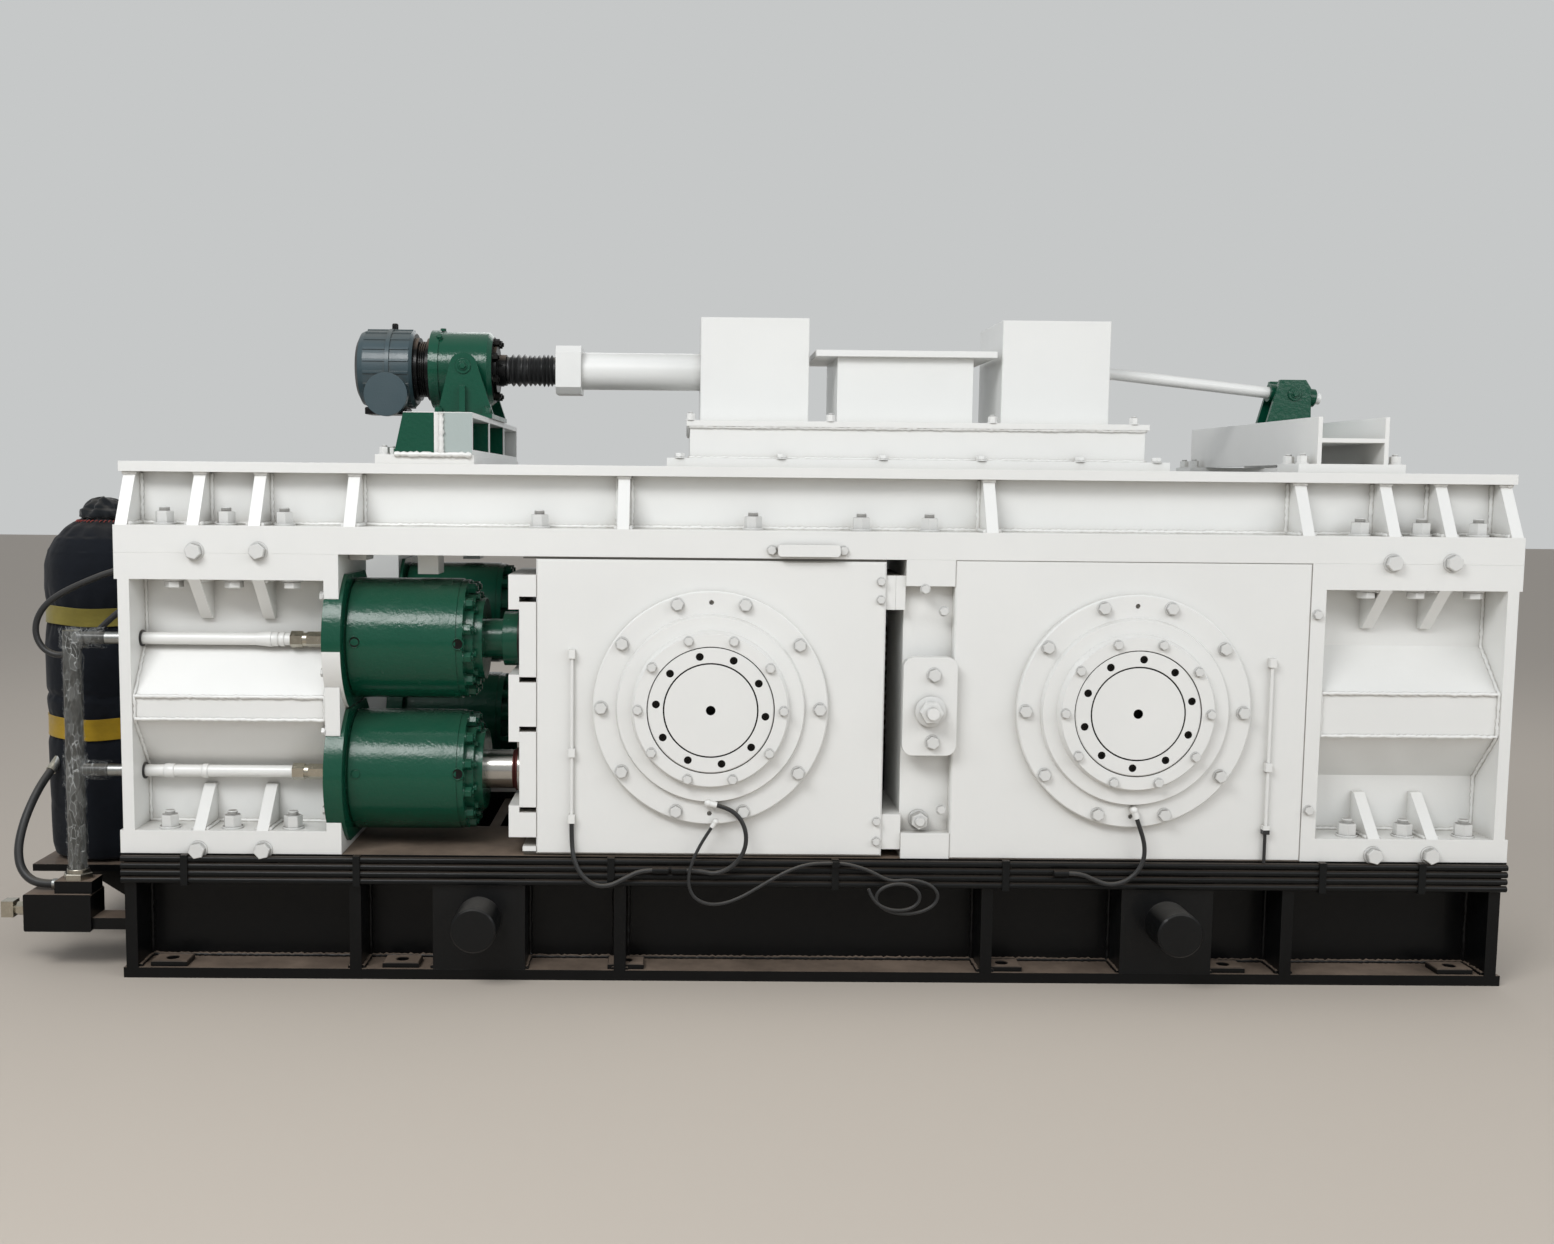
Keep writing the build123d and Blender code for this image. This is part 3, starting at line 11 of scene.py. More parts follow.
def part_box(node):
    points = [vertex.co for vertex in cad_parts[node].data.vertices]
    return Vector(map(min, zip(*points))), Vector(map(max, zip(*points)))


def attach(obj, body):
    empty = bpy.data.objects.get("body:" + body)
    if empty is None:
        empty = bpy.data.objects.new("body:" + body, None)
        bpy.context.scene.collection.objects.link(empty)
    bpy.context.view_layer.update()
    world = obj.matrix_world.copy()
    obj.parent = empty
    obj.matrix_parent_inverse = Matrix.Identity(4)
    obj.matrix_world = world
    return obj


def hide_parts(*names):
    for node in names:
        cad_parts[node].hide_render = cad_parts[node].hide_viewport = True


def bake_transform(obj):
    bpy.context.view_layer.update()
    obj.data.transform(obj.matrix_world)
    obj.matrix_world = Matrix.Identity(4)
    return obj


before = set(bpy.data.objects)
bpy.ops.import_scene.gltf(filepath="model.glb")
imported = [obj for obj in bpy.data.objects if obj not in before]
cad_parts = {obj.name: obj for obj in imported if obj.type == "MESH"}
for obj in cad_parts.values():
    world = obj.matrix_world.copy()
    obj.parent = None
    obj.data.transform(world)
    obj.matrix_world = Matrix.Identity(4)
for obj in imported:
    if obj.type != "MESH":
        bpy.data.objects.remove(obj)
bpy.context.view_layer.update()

bl_info = {
    "name": "Double Roll Crusher",
    "version": (1, 0, 0),
    "blender": (4, 5, 0),
    "location": "3D View > Sidebar > Crusher",
    "description": "Dresses the packed roll crusher with paint, bolts, welds, hoses and covers",
    "category": "Object",
}

MM = 0.001


def paint(text):
    """sRGB hex to the linear red, green and blue that the shaders take."""
    values = [int(text[i:i + 2], 16) / 255 for i in (1, 3, 5)]
    return tuple(v / 12.92 if v <= 0.04045 else ((v + 0.055) / 1.055) ** 2.4 for v in values)


def mm(*values):
    """Millimetres to metres, as a vector."""
    return Vector([v * MM for v in values])


# Places in millimetres, as the source's named values give them
FRONT, WEB = -750.0, -610.0
FOOT_TOP, HEAD_LOW, SOLE_TOP, BEAM_TOP = 512.0, 1362.0, 1543.0, 1755.0
ROLLS = {"floating": -369.0, "fixed": 1055.0}
ROLL_Z = 947.0
RING_FACE, HUB_FACE = -780.0, -825.0
RING_CIRCLE, HUB_CIRCLE, DISC_CIRCLE = 367.0, 243.0, 183.0
STOP_X, STOP_FACE = 365.5, 803.0
FEED_X, SUBFRAME_LOW, SUBFRAME_TOP = 343.0, 1785.0, 1915.0
SUBFRAME_HALF_LENGTH, SUBFRAME_HALF_DEPTH = 791.0, 543.0
ACTUATOR_Z, PIVOT_X, STAND_TOP = 2118.0, -1277.0, 1928.0
BEAM_RIBS = [-2333, -2096, -1892, -1576, -666, 569, 1630, 1920, 2110, 2333]
BASE_BAYS = [(-2310, -1590), (-1550, -1307), (-993, -690), (-650, 564), (604, 1044), (1358, 1595),
             (1635, 2305)]
CYLINDER_ROWS = (690.0, 1152.0)
CYLINDER_Y, CYLINDER_RADIUS = -530.0, 209.0
FLANGE_END = -1602.0
PIPE_Y, PIPE_ROWS, RISER_X = 644.0, (697.0, 1154.0), -2548.0
BOTTLE_X, BOTTLE_Y = -2575.0, 250.0
LOWER_BAND, UPPER_BAND = 806.0, 1207.0
COVER_FOOT, COVER_TOP = 318.0, 1562.0
TIE_FOOT, TIE_RISE = 1552.0, 72.0

# The reference view: place in millimetres, turns in radians, shift as Blender counts it
CAMERA_PLACE = (-463.8, -5755.5, 1691.6)
CAMERA_PITCH, CAMERA_YAW, CAMERA_ROLL = 0.0909, 0.01086, -0.0099
CAMERA_SHIFT = 0.0501

LEFTWARD, RIGHTWARD, FRONTWARD = (-1, 0, 0), (1, 0, 0), (0, -1, 0)
UPWARD, DOWNWARD = (0, 0, 1), (0, 0, -1)


# Settings shown in the panel

class CrusherView(bpy.types.PropertyGroup):
    """Camera and light"""
    lens: FloatProperty(name="Lens", description="Focal length that matches the reference view",
                        default=34.75, min=10, max=200, unit="CAMERA")
    key: FloatProperty(name="Key light", description="Power of the large soft lamp at upper left",
                       default=280.0, min=0, subtype="POWER")
    fill: FloatProperty(name="Fill light", description="Power of the soft lamp at the right",
                        default=125.0, min=0, subtype="POWER")
    front: FloatProperty(name="Front light", description="Power of the broad lamp above the camera",
                         default=90.0, min=0, subtype="POWER")
    sky: FloatProperty(name="Sky light", description="Strength of the even light from all sides",
                       default=0.47, min=0, max=2, subtype="FACTOR")
    floor: FloatVectorProperty(name="Floor", description="Colour of the floor", subtype="COLOR",
                               default=paint("#C3BAAF"), min=0, max=1)
    backdrop: FloatVectorProperty(name="Backdrop", description="Colour of the plain backdrop",
                                  subtype="COLOR", default=paint("#C6C8C8"), min=0, max=1)


class CrusherPaint(bpy.types.PropertyGroup):
    """Colours of the finishes"""
    white: FloatVectorProperty(name="White enamel", description="Frame, housings and feed gear",
                               subtype="COLOR", default=paint("#E9EAE8"), min=0, max=1)
    green: FloatVectorProperty(name="Green enamel", description="Cylinders, gearbox and brackets",
                               subtype="COLOR", default=paint("#0A4A37"), min=0, max=1)
    black: FloatVectorProperty(name="Black enamel", description="Base, manifold and shelf",
                               subtype="COLOR", default=paint("#0A0B0C"), min=0, max=1)
    motor: FloatVectorProperty(name="Motor enamel", description="Motor of the gate actuator",
                               subtype="COLOR", default=paint("#33474E"), min=0, max=1)
    cloth: FloatVectorProperty(name="Cover cloth", description="Quilted covers of the gas bottles",
                               subtype="COLOR", default=paint("#0C1119"), min=0, max=1)
    band: FloatVectorProperty(name="Cover bands", description="Webbing bands round the covers",
                              subtype="COLOR", default=paint("#9C7F1D"), min=0, max=1)
    rubber: FloatVectorProperty(name="Rubber", description="Hoses, cable and bellows",
                                subtype="COLOR", default=paint("#1B1C1D"), min=0, max=1)
    dust: FloatVectorProperty(name="Shop dust", description="Dust lying on faces that look up",
                              subtype="COLOR", default=paint("#9A9183"), min=0, max=1)


class CrusherSizes(bpy.types.PropertyGroup):
    """Sizes of the small parts"""
    stud: FloatProperty(name="Anchor stud", description="Thread diameter of post and beam studs",
                        default=36 * MM, min=0.005, unit="LENGTH")
    ring_bolt: FloatProperty(name="Ring bolt", description="Thread diameter of outer cover bolts",
                             default=24 * MM, min=0.005, unit="LENGTH")
    small_bolt: FloatProperty(name="Small bolt", description="Thread diameter of inner cover bolts",
                              default=18 * MM, min=0.005, unit="LENGTH")
    weld: FloatProperty(name="Weld bead", description="Width of the fillet welds on the frame",
                        default=18 * MM, min=0.002, unit="LENGTH")
    hose: FloatProperty(name="Hose", description="Outside diameter of the grease hoses",
                        default=15 * MM, min=0.003, unit="LENGTH")
    cable: FloatProperty(name="Cable", description="Outside diameter of the sensor cable",
                         default=11 * MM, min=0.003, unit="LENGTH")
    folds: IntProperty(name="Bellows folds", description="Number of folds in the rubber bellows",
                       default=9, min=3, max=30)


# Shared making of meshes

def around(count, first=0.0):
    """Angles of even steps round a circle."""
    return [first + 2 * math.pi * k / count for k in range(count)]


def ring(sides, radius, height):
    """Ring of points about Z; radius and height are numbers or functions of the angle."""
    points = []
    for angle in around(sides):
        far, high = (value(angle) if callable(value) else value for value in (radius, height))
        points.append((far * math.cos(angle), far * math.sin(angle), high))
    return points


def round_noise(angle, wide, up, shift=0.0):
    """Noise that closes on itself round an angle; its waves are narrower the larger wide is."""
    return noise.noise(Vector((math.cos(angle) * wide + shift, math.sin(angle) * wide, up)))


class Build:
    """Collects points and faces of one piece."""

    def __init__(self, name):
        self.name = name
        self.points = []
        self.faces = []
        self.smooth = []

    def add(self, points, faces, place=None, smooth=True):
        """Add points and faces, moved by the matrix place."""
        start = len(self.points)
        place = place or Matrix()
        self.points += [place @ Vector(p) for p in points]
        self.faces += [[start + i for i in face] for face in faces]
        self.smooth += [smooth] * len(faces)

    def skin(self, rings, place=None, smooth=True, looped=False, caps=False):
        """Add the faces between rings of as many points each, and those that close the ends."""
        count = len(rings[0])
        points = [p for level in rings for p in level]
        faces = []
        for row in range(len(rings) if looped else len(rings) - 1):
            low, high = row * count, (row + 1) % len(rings) * count
            for i in range(count):
                j = (i + 1) % count
                faces.append((low + i, low + j, high + j, high + i))
        if caps:
            faces += [range(count)[::-1], range(len(points) - count, len(points))]
        self.add(points, faces, place, smooth)

    def turned(self, profile, place=None, sides=24):
        """Turn (radius, height) points about the local Z axis."""
        points, rings = [], []
        for radius, height in profile:
            level = [(0, 0, height)] if radius < 1e-7 else ring(sides, radius, height)
            rings.append(range(len(points), len(points) + len(level)))
            points += level
        faces = []
        for low, high in zip(rings, rings[1:]):
            for i in range(sides):
                j = (i + 1) % sides
                if len(low) == 1 and len(high) > 1:
                    faces.append((low[0], high[j], high[i]))
                elif len(high) == 1 and len(low) > 1:
                    faces.append((low[i], low[j], high[0]))
                elif len(low) > 1:
                    faces.append((low[i], low[j], high[j], high[i]))
        self.add(points, faces, place)

    def prism(self, outline, low, high, place, bevel):
        """Stand an (x, y) outline up from low to high, its top edge bevelled."""
        outline = [Vector(p) for p in outline]
        middle = sum(outline, Vector((0, 0))) / len(outline)
        rings = []
        for height, inset in ((low, 0.0), (high - bevel, 0.0), (high, bevel)):
            moved = [p + (middle - p) * (inset / max((middle - p).length, 1e-9)) for p in outline]
            rings.append([(p.x, p.y, height) for p in moved])
        self.skin(rings, place, smooth=False, caps=True)

    def tube(self, path, radius, sides=12):
        """Round tube along points; radius is a number or a function of the point's index."""
        path = [Vector(p) for p in path]
        up = Vector((0.31, 0.17, 0.93))
        rings = []
        for i, p in enumerate(path):
            along = (path[min(i + 1, len(path) - 1)] - path[max(i - 1, 0)]).normalized()
            up = (up - along * up.dot(along)).normalized()
            other = along.cross(up)
            size = radius(i) if callable(radius) else radius
            rings.append([p + (up * math.cos(angle) + other * math.sin(angle)) * size
                          for angle in around(sides)])
        self.skin(rings, caps=True)

    def finish(self, material, body=None, slot=None, crease=32):
        """Make the object, give it its finish and let it ride."""
        mesh = bpy.data.meshes.new(self.name)
        mesh.from_pydata([tuple(p) for p in self.points], [], self.faces)
        mesh.polygons.foreach_set("use_smooth", self.smooth)
        mesh.update()
        mesh.set_sharp_from_angle(angle=math.radians(crease))
        mesh.materials.append(material)
        made = bpy.data.objects.new(self.name, mesh)
        bpy.context.scene.collection.objects.link(made)
        if body:
            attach(made, body)
        return made


def facing(origin, direction, roll=0.0):
    """Matrix that stands local Z along direction at a point given in millimetres."""
    turn = Vector(direction).normalized().to_track_quat("Z", "Y").to_matrix().to_4x4()
    return Matrix.Translation(mm(*origin)) @ turn @ Matrix.Rotation(roll, 4, "Z")


def hexagon(flats):
    """Corners of a hexagon that measures flats across."""
    return [(x, y) for x, y, _ in ring(6, flats / math.sqrt(3), 0.0)]


def bolt_circle(centre, radius, angles, direction):
    """Places of bolts round a centre, in the plane that direction stands on."""
    x, y, z = centre
    places = []
    for angle in angles:
        across, rise = radius * math.cos(angle), radius * math.sin(angle)
        at = (x, y + across, z + rise) if direction[0] else (x + across, y, z + rise)
        places.append((at, direction))
    return places


def hex_bolt(piece, place, size):
    """Hexagon head bolt on its washer, for a thread of that size."""
    washer, head = size * 0.17, size * 0.65
    piece.turned([(size, 0), (size, washer * 0.7), (size * 0.96, washer), (0, washer)], place, 20)
    piece.turned([(size * 0.74, washer), (size * 0.74, washer * 1.3), (0, washer * 1.3)], place, 20)
    piece.prism(hexagon(size * 1.5), washer * 1.3, washer + head, place, size * 0.07)


def nut_on_stud(piece, place, size):
    """Tall hexagon nut on a washer, with the threaded stud end standing out of it."""
    washer, nut, pitch, out = size * 0.19, size * 1.08, size * 0.1, size * 0.3
    piece.turned([(size, 0), (size, washer * 0.7), (size * 0.96, washer), (0, washer)], place, 20)
    piece.prism(hexagon(size * 1.5), washer, washer + nut, place, size * 0.07)
    height = washer + nut
    thread = [(size * 0.5, height - 0.0005)]
    while height < washer + nut + out:
        thread += [(size * 0.5, height), (size * 0.44, height + pitch / 2)]
        height += pitch
    piece.turned([*thread, (size * 0.42, height), (0, height)], place, 14)


def socket_screw(piece, place, size):
    """Cylinder head screw with a hexagon socket, standing in its counterbore."""
    rim, socket, top = size * 0.72, size * 0.42, size * 0.55
    piece.turned([(rim, 0.0), (rim, top - 0.001), (rim * 0.92, top), (socket * 1.05, top),
                  (socket, top - 0.001), (socket * 0.95, top - 0.006), (0, top - 0.006)], place, 24)


def pivot_cap(piece, place, size):
    """Washer with a domed nut over the end of a pin."""
    piece.turned([(size * 0.95, 0), (size * 0.95, size * 0.14), (size * 0.9, size * 0.18),
                  (size * 0.62, size * 0.18), (size * 0.55, size * 0.3), (0, size * 0.3)],
                 place, 28)
    piece.prism(hexagon(size * 0.75), size * 0.3, size * 0.6, place, size * 0.08)


def port_shade_disc(piece, place, size):
    """Oil port drawn as a dark disc a little proud of the curved shell: painted shade standing for
    the open hole.
    """
    piece.turned([(size * 0.46, -0.002), (size * 0.46, 0.0012), (size * 0.3, 0.0004), (0, 0.0004)],
                 place, 24)


def port_rim(piece, place, size):
    """Painted rim round an oil port."""
    piece.turned([(size * 0.47, 0.0005), (size * 0.47, -0.001), (size * 0.6, -0.001),
                  (size * 0.56, 0.0022), (size * 0.5, 0.0022), (size * 0.47, 0.0005)], place, 24)


def port_plug(piece, place, size):
    """Screwed plug with a shallow groove round it."""
    piece.turned([(size * 0.58, -0.002), (size * 0.58, 0.0018), (size * 0.52, 0.0022),
                  (size * 0.5, 0.0008), (size * 0.47, 0.0008), (size * 0.45, 0.003), (0, 0.0032)],
                 place, 28)


def bolts(name, places, size, seed, make=hex_bolt, coat=None, slot="white_enamel", body="frame",
          both=True):
    """One piece of like bolts at ((x, y, z), (dx, dy, dz)) places, and at their mirror images on
    the far side too if both is true. Each is turned by chance as hand-tightened bolts are."""
    chance = random.Random(seed)
    piece = Build(name)
    if both:
        places = places + [((x, -y, z), (dx, -dy, dz)) for (x, y, z), (dx, dy, dz) in places]
    for origin, direction in places:
        make(piece, facing(origin, direction, chance.uniform(0, math.pi)), size)
    return piece.finish((coat or nut_enamel)(), body, slot)


def seams(name, runs, width, seed, coat=None, slot="white_enamel", both=True):
    """Fillet weld beads along runs of points in millimetres, with the ripples of hand welding, and
    along their mirror images on the far side too if both is true."""
    chance = random.Random(seed)
    piece = Build(name)
    ripple = 11.0
    if both:
        runs = runs + [[(x, -y, z) for x, y, z in run] for run in runs]
    for run in runs:
        path = []
        for start, end in zip(run, run[1:]):
            start, end = mm(*start), mm(*end)
            steps = max(2, round((end - start).length / (ripple * MM)))
            path += [start.lerp(end, i / steps) for i in range(steps)]
        path.append(mm(*run[-1]))
        swell = [width * (0.38 + (0.0, 0.16)[i % 2] + chance.uniform(-0.07, 0.09))
                 for i in range(len(path))]
        path = [p + Vector([chance.uniform(-0.0012, 0.0012) for axis in range(3)]) for p in path]
        piece.tube(path, swell.__getitem__, 7)
    return piece.finish((coat or white_enamel)(), "frame", slot, 60)


# Shared making of materials

def add(tree, kind, inputs=None, **settings):
    """Add a node with its settings, socket values and links; a node given as a value is linked by
    its first output. The kind is the node's type without ShaderNode before it."""
    made = tree.nodes.new("ShaderNode" + kind)
    for key, value in settings.items():
        setattr(made, key, value)
    for key, value in (inputs or {}).items():
        socket = made.inputs[key]
        if isinstance(value, bpy.types.Node):
            value = value.outputs[0]
        if isinstance(value, bpy.types.NodeSocket):
            tree.links.new(value, socket)
        else:
            socket.default_value = value
    return made


def finish(name):
    """Turn a function that lays a shader into one that gives its material, made once. The plain
    function stays at hand as lay, for finishes that cover only a part of a piece."""
    def held(lay):
        @functools.cache
        @functools.wraps(lay)
        def material():
            made = bpy.data.materials.new(name)
            made.use_nodes = True
            tree = made.node_tree
            tree.nodes.clear()
            shader = lay(tree, add(tree, "TexCoord"))
            add(tree, "OutputMaterial", {"Surface": shader})
            return made
        material.lay = lay
        return material
    return held


def colours():
    """The colours set in the panel."""
    return bpy.context.scene.crusher_paint


def grain(size):
    """Noise scale for a pattern whose grains are size millimetres wide."""
    return 1000.0 / size


def shade(colour, factor=1.0):
    """The same colour, darker or lighter, with the alpha that sockets take."""
    return (*[min(1.0, c * factor) for c in colour], 1.0)


def drifting(tree, where, colour, darkest, palest, pattern):
    """Colour that drifts between two of its shades in clouds, and the clouds."""
    clouds = add(tree, "TexNoise", {"Vector": where, **pattern})
    tone = add(tree, "Mix", {0: clouds, 6: shade(colour, darkest), 7: shade(colour, palest)},
               data_type="RGBA")
    return tone.outputs[2], clouds


def dusted(tree, place, base, amount, dust):
    """Colour with dust where the face looks up, in clouds about 250 mm wide, and its cover."""
    clouds = add(tree, "TexNoise", {
        "Vector": place.outputs["Object"], "Scale": grain(250), "Detail": 6.0, "Roughness": 0.7})
    split = add(tree, "SeparateXYZ", {0: place.outputs["Normal"]})
    up = add(tree, "MapRange", {
        "Value": split.outputs["Z"], "From Min": 0.55, "From Max": 0.95, "To Min": 0.0,
        "To Max": amount})
    cover = add(tree, "Math", {0: up, 1: clouds}, operation="MULTIPLY")
    mixed = add(tree, "Mix", {0: cover, 6: base, 7: shade(dust)}, data_type="RGBA")
    return mixed.outputs[2], cover


def enamel_film(tree, place, colour, rough, peel, depth, ledges, grime_and_shade, dust=None, level=0.5):
    """Alkyd enamel sprayed on welded plate: a gloss film with orange peel, thin dust on ledges and
    grey in the corners, partly grime and partly painted shade. Peel and its depth are in
    millimetres."""
    dust = dust or colours().dust
    where = place.outputs["Object"]
    tone, _ = drifting(tree, where, colour, 0.94, 1.04, {"Scale": grain(620), "Detail": 4.0})
    # Grey laid wherever nearby faces shut a place in, found by ambient occlusion: partly grime,
    # partly painted shade
    corner = add(tree, "AmbientOcclusion", {"Distance": 0.07}, samples=6)
    corner_grime_and_shade = add(tree, "MapRange", {
        "Value": corner.outputs["AO"], "From Min": 0.15, "From Max": 0.7, "To Min": grime_and_shade,
        "To Max": 0.0})
    grimed_and_shaded = add(tree, "Mix", {0: corner_grime_and_shade, 6: tone, 7: shade(dust, 0.75)}, data_type="RGBA")
    base, cover = dusted(tree, place, grimed_and_shaded.outputs[2], ledges, dust)
    film = add(tree, "TexNoise", {"Vector": where, "Scale": grain(90), "Detail": 3.0})
    gloss = add(tree, "MapRange", {
        "Value": film, "From Min": 0.3, "From Max": 0.7, "To Min": rough - 0.06,
        "To Max": rough + 0.08})
    dull = add(tree, "Math", {0: cover, 1: 0.5, 2: gloss}, operation="MULTIPLY_ADD")
    # Real orange peel is 2 to 4 mm wide; drawn a few times coarser, to show at this distance
    skin = add(tree, "TexNoise", {"Vector": where, "Scale": grain(peel), "Detail": 2.0})
    soft = add(tree, "Bevel", {"Radius": 2.5 * MM}, samples=4)
    bump = add(tree, "Bump", {
        "Height": skin, "Strength": 0.6, "Distance": depth * MM, "Normal": soft})
    return add(tree, "BsdfPrincipled", {
        "Base Color": base, "Roughness": dull, "Normal": bump, "IOR": 1.5,
        "Specular IOR Level": level, "Coat Weight": level * 0.5, "Coat Roughness": 0.12})


def machined_film(tree, place, colour, rough, lines):
    """Steel finished on a grinder or lathe: fine lines, given as grains in each direction, stretch
    the reflections."""
    stretched = add(tree, "Mapping", {"Vector": place.outputs["Object"], "Scale": lines})
    tone, scratch = drifting(tree, stretched, colour, 0.75, 1.15,
                             {"Scale": 1.0, "Detail": 4.0})
    gloss = add(tree, "MapRange", {
        "Value": scratch, "To Min": rough - 0.07, "To Max": rough + 0.12})
    bump = add(tree, "Bump", {"Height": scratch, "Strength": 0.25, "Distance": 0.2 * MM})
    return add(tree, "BsdfPrincipled", {
        "Base Color": tone, "Roughness": gloss, "Normal": bump,
        "Metallic": 1.0, "Anisotropic": 0.4})


def rubber_film(tree, place, colour, rough, grains, depth):
    """Black rubber: a matt skin, slightly greyed by dust and handling. Its grains and their depth
    are in millimetres."""
    where = place.outputs["Object"]
    tone, rubbed = drifting(tree, where, colour, 0.7, 1.6, {"Scale": grain(60), "Detail": 5.0})
    base, _ = dusted(tree, place, tone, 0.5, colours().dust)
    gloss = add(tree, "MapRange", {"Value": rubbed, "To Min": rough - 0.08, "To Max": rough + 0.15})
    skin = add(tree, "TexNoise", {"Vector": where, "Scale": grain(grains), "Detail": 2.0})
    bump = add(tree, "Bump", {"Height": skin, "Strength": 0.4, "Distance": depth * MM})
    return add(tree, "BsdfPrincipled", {
        "Base Color": base, "Roughness": gloss, "Normal": bump, "IOR": 1.52,
        "Sheen Weight": 0.08})


def cloth_film(tree, place, colour, weave, sheen, dust):
    """Plain weave of two thread directions, weave millimetres apart, with uneven wear."""
    where = place.outputs["Object"]
    upright, across = (add(tree, "TexWave", {
        "Vector": where, "Scale": grain(weave) / 20, "Distortion": 1.2, "Detail": 1.0},
        bands_direction=way).outputs["Fac"] for way in ("Z", "DIAGONAL"))
    threads = add(tree, "Math", {0: upright, 1: across}, operation="MULTIPLY")
    tone, _ = drifting(tree, where, colour, 0.6, 1.45,
                       {"Scale": grain(140), "Detail": 6.0, "Roughness": 0.65})
    base, _ = dusted(tree, place, tone, dust, colours().dust)
    rumple = add(tree, "TexNoise", {"Vector": where, "Scale": grain(34), "Detail": 3.0})
    height = add(tree, "Math", {0: rumple, 1: 3.0, 2: threads}, operation="MULTIPLY_ADD")
    bump = add(tree, "Bump", {"Height": height, "Strength": 0.5, "Distance": 1.2 * MM})
    return add(tree, "BsdfPrincipled", {
        "Base Color": base, "Roughness": 0.82, "Normal": bump, "IOR": 1.5,
        "Specular IOR Level": 0.2, "Sheen Weight": sheen, "Sheen Roughness": 0.45})


def coats(tree, place, shader, *layers):
    """Lay more shaders over a first one, each only inside its boxes. A box gives the lowest and
    highest X, Y or Z in millimetres, None where it is open."""
    def joined(values, operation):
        return functools.reduce(lambda first, second: add(
            tree, "Math", {0: first, 1: second}, operation=operation), values)

    split = add(tree, "SeparateXYZ", {0: place.outputs["Object"]})
    for above, *boxes in layers:
        masks = []
        for box in boxes:
            tests = [add(tree, "Math", {0: split.outputs[axis], 1: bound * MM}, operation=test)
                     for axis, bounds in box.items()
                     for bound, test in zip(bounds, ("GREATER_THAN", "LESS_THAN"))
                     if bound is not None]
            masks.append(joined(tests, "MULTIPLY"))
        shader = add(tree, "MixShader", {0: joined(masks, "MAXIMUM"), 1: shader, 2: above})
    return shader


# Finishes

@finish("white sprayed enamel")
def white_enamel(tree, place):
    """Alkyd enamel, sprayed white: soft gloss, a little dust, grey in the corners from grime and
    painted shade
    """
    return enamel_film(tree, place, colours().white, rough=0.36, peel=14, depth=0.35, ledges=0.45,
                       grime_and_shade=0.6)


@finish("green sprayed enamel")
def green_enamel(tree, place):
    """Alkyd enamel, sprayed thick in dark green: high gloss, orange peel that breaks the lights"""
    return enamel_film(tree, place, colours().green, rough=0.2, peel=13, depth=1.7, ledges=0.12,
                       grime_and_shade=0.04, level=0.3)


@finish("black sprayed enamel")
def black_enamel(tree, place):
    """Alkyd enamel, sprayed black on the base: satin, with pale dust on every ledge"""
    return enamel_film(tree, place, colours().black, rough=0.34, peel=16, depth=0.8, ledges=1.3,
                       grime_and_shade=0.02, dust=paint("#8A7A6C"), level=0.16)


@finish("white enamel on nuts and studs")
def nut_enamel(tree, place):
    """White enamel on nuts and studs: thinner than on plates and darker as painted shade, dustier
    on top, grey at the foot from grime and painted shade
    """
    # The plate white taken down to 0.86 is painted shade, so that the nuts stand apart from the
    # plates
    return enamel_film(tree, place, shade(colours().white, 0.86)[:3], rough=0.4, peel=9, depth=0.3,
                       ledges=1.5, grime_and_shade=0.95, dust=paint("#7E7A73"))


@finish("black enamel with sling marks")
def trunnion_enamel(tree, place):
    """Black enamel on turned steel, scuffed grey where the slings lie"""
    return enamel_film(tree, place, paint("#0D0E0F"), rough=0.42, peel=10, depth=0.8, ledges=0.5,
                       grime_and_shade=0.02, dust=paint("#86837E"), level=0.2)


@finish("satin black pipe enamel")
def pipe_black(tree, place):
    """Steel pipe under satin black enamel with dust along the top"""
    return enamel_film(tree, place, paint("#0F1112"), rough=0.38, peel=18, depth=0.5, ledges=0.3,
                       grime_and_shade=0.05, dust=paint("#8A7A6C"), level=0.16)


@finish("green sprayed enamel with white flange edge")
def painted_cylinders(tree, place):
    """Green cylinders: the upper one's flange at the front is white below its middle, where it was
    sprayed with the post"""
    return coats(tree, place, green_enamel.lay(tree, place), (
        white_enamel.lay(tree, place),
        {"X": (None, FLANGE_END), "Y": (None, -300), "Z": (925, 1128)}))


@finish("green enamel with black nose")
def gearbox_enamel(tree, place):
    """Cast gearbox under dark green enamel, its nose and end face in satin black"""
    return coats(tree, place, green_enamel.lay(tree, place), (
        black_enamel.lay(tree, place), {"X": (-1184, None), "Z": (1900, None)}))


@finish("white pipe enamel with hose end")
def grease_pipe_enamel(tree, place):
    """Thin steel pipe painted white with its housing, its lowest stretch black hose"""
    return coats(tree, place, white_enamel.lay(tree, place), (
        hose_rubber.lay(tree, place), {"Z": (None, 545)}))


@finish("blue-grey enamel on cast aluminium")
def motor_enamel(tree, place):
    """Cast aluminium motor shell under blue-grey enamel: satin, with the casting's grain"""
    shell = enamel_film(tree, place, colours().motor, rough=0.42, peel=6, depth=0.6, ledges=0.4,
                        grime_and_shade=0.3)
    return coats(tree, place, shell, (
        black_enamel.lay(tree, place),
        {"X": (-1477, None), "Z": (1968, None)}, {"X": (None, -1678)}))


